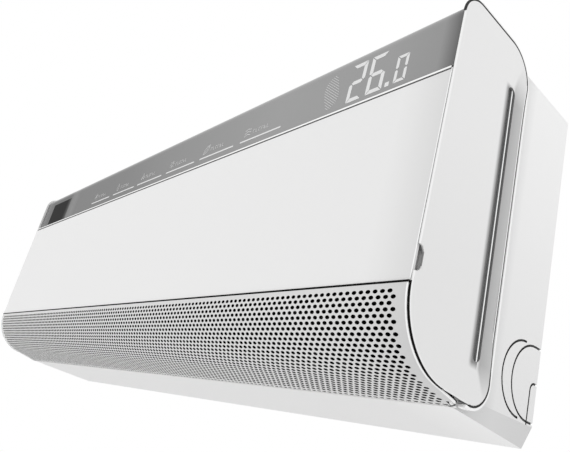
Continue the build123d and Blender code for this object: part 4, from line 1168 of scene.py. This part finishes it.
def modeMark(bm, kind, x, z):
    # plain marks of common kinds: a flake, a drop, a fan, a sun, a leaf and a wave
    size, half = marks["size"], marks["size"] / 2
    if kind == "flake":
        for k in range(3):
            bar(bm, x, z, size, marks["outline"], 30 + 60 * k)
    elif kind == "fan":
        for k in range(3):
            outlined(bm, *atTurn(x, z, half * marks["bladeAway"], 90 + 120 * k), half, marks["blade"])
    elif kind == "sun":
        ringShape(bm, x, z, *(half * share for share in marks["ring"]))
        away, long = marks["ray"]
        for k in range(8):
            bar(bm, *atTurn(x, z, half * away, 45 * k), half * long, marks["thin"], 45 * k)
    elif kind == "wave":
        for k in (-1, 0, 1):
            for away, degrees in marks["waves"]:
                bar(bm, x + half * away, z + k * half * marks["waveStep"], half, marks["waveThick"], degrees)
    else:
        outlined(bm, x, z, half, marks[kind])
        if kind == "leaf":
            bar(bm, x, z, size, marks["thin"], 45)


def captionMarks(bm, x, z):
    # upright strokes with arms in place of a caption, no letters
    size, thick = caption["letter"], caption["thick"]
    for k, kind in enumerate(caption["signs"]):
        left = x + k * size * caption["pitch"]
        bar(bm, left, z, size, thick, 90)
        for level, arm in caption["arms"][kind]:
            bar(bm, left + size * caption["armMiddle"], z + level * (size - thick) / 2, size * arm, thick, 0)


def buildPrint():
    bm = bmesh.new()
    for kind, line in zip(marks["kinds"], display["lines"]):
        modeMark(bm, kind, line[0] + marks["along"], marks["foot"] + marks["size"] / 2)
        captionMarks(bm, line[0] + caption["along"], marks["foot"] + caption["up"])
    for k in range(hatch["count"]):
        share = (k + 0.5) / hatch["count"]
        x = hatch["x"] + (share - 0.5) * hatch["lean"]
        z = hatch["foot"] + (hatch["top"] - hatch["foot"]) * share
        length = hatch["short"] + hatch["long"] * math.sin(math.pi * share)
        bar(bm, x, z, length, hatch["thick"], hatch["angle"])
    bmesh.ops.recalc_face_normals(bm, faces=bm.faces)
    addPiece("displayPrint", bm, "panel", ["printGrey"])


buildFigures()
buildPrint()
print("display drawn")

# Pale floor, white surroundings for what the camera and the gloss see, and soft lamps

studio = {
    "floorZ": -1500.0, "floorSize": 14.0, "fill": 0.88, "aim": (0, -0.1, -0.05),
    "lamps": [((1.6, -2.2, 1.5), 2.0, 4.0), ((-1.8, -2.0, 0.8), 2.2, 2.0), ((0.4, -1.6, -0.75), 1.4, 1.5)],
}


def buildSurroundings(look):
    world = bpy.data.worlds.new("studio")
    bpy.context.scene.world = world
    world.use_nodes = True
    tree = world.node_tree
    tree.nodes.clear()
    ray = tree.nodes.new("ShaderNodeLightPath").outputs
    glossy = maths(tree, "ADD", ray["Is Glossy Ray"], ray["Is Transmission Ray"])
    seen = maths(tree, "ADD", ray["Is Camera Ray"], glossy, True)
    mix = tree.nodes.new("ShaderNodeMixShader")
    feed(tree, seen, mix.inputs["Fac"])
    for socket, strength in ((mix.inputs[1], look["fill"]), (mix.inputs[2], 1.0)):
        pale = addNode(tree, "ShaderNodeBackground", Color=(1, 1, 1, 1), Strength=strength)
        feed(tree, pale.outputs[0], socket)
    feed(tree, mix.outputs[0], tree.nodes.new("ShaderNodeOutputWorld").inputs["Surface"])


def buildFloor(look):
    bm = bmesh.new()
    bmesh.ops.create_grid(bm, x_segments=1, y_segments=1, size=look["floorSize"] / 2)
    bmesh.ops.translate(bm, vec=(0, 0, look["floorZ"] * mm), verts=bm.verts)
    finish("floorPale", (248, 245), (40, 3, 0.5), 0.2, (0.8, 0.1, 3))
    floor = meshObject("floor", bm, ["floorPale"])


def hangLamps(look):
    for k, (spot, size, power) in enumerate(look["lamps"]):
        data = bpy.data.lights.new("softLamp%d" % k, "AREA")
        data.size, data.energy = size, power
        lamp = newObject("softLamp%d" % k, data)
        ahead = (Vector(look["aim"]) - Vector(spot)).to_track_quat("-Z", "Y")
        lamp.matrix_world = Matrix.Translation(spot) @ ahead.to_matrix().to_4x4()


buildSurroundings(studio)
buildFloor(studio)
hangLamps(studio)
print("studio lit")
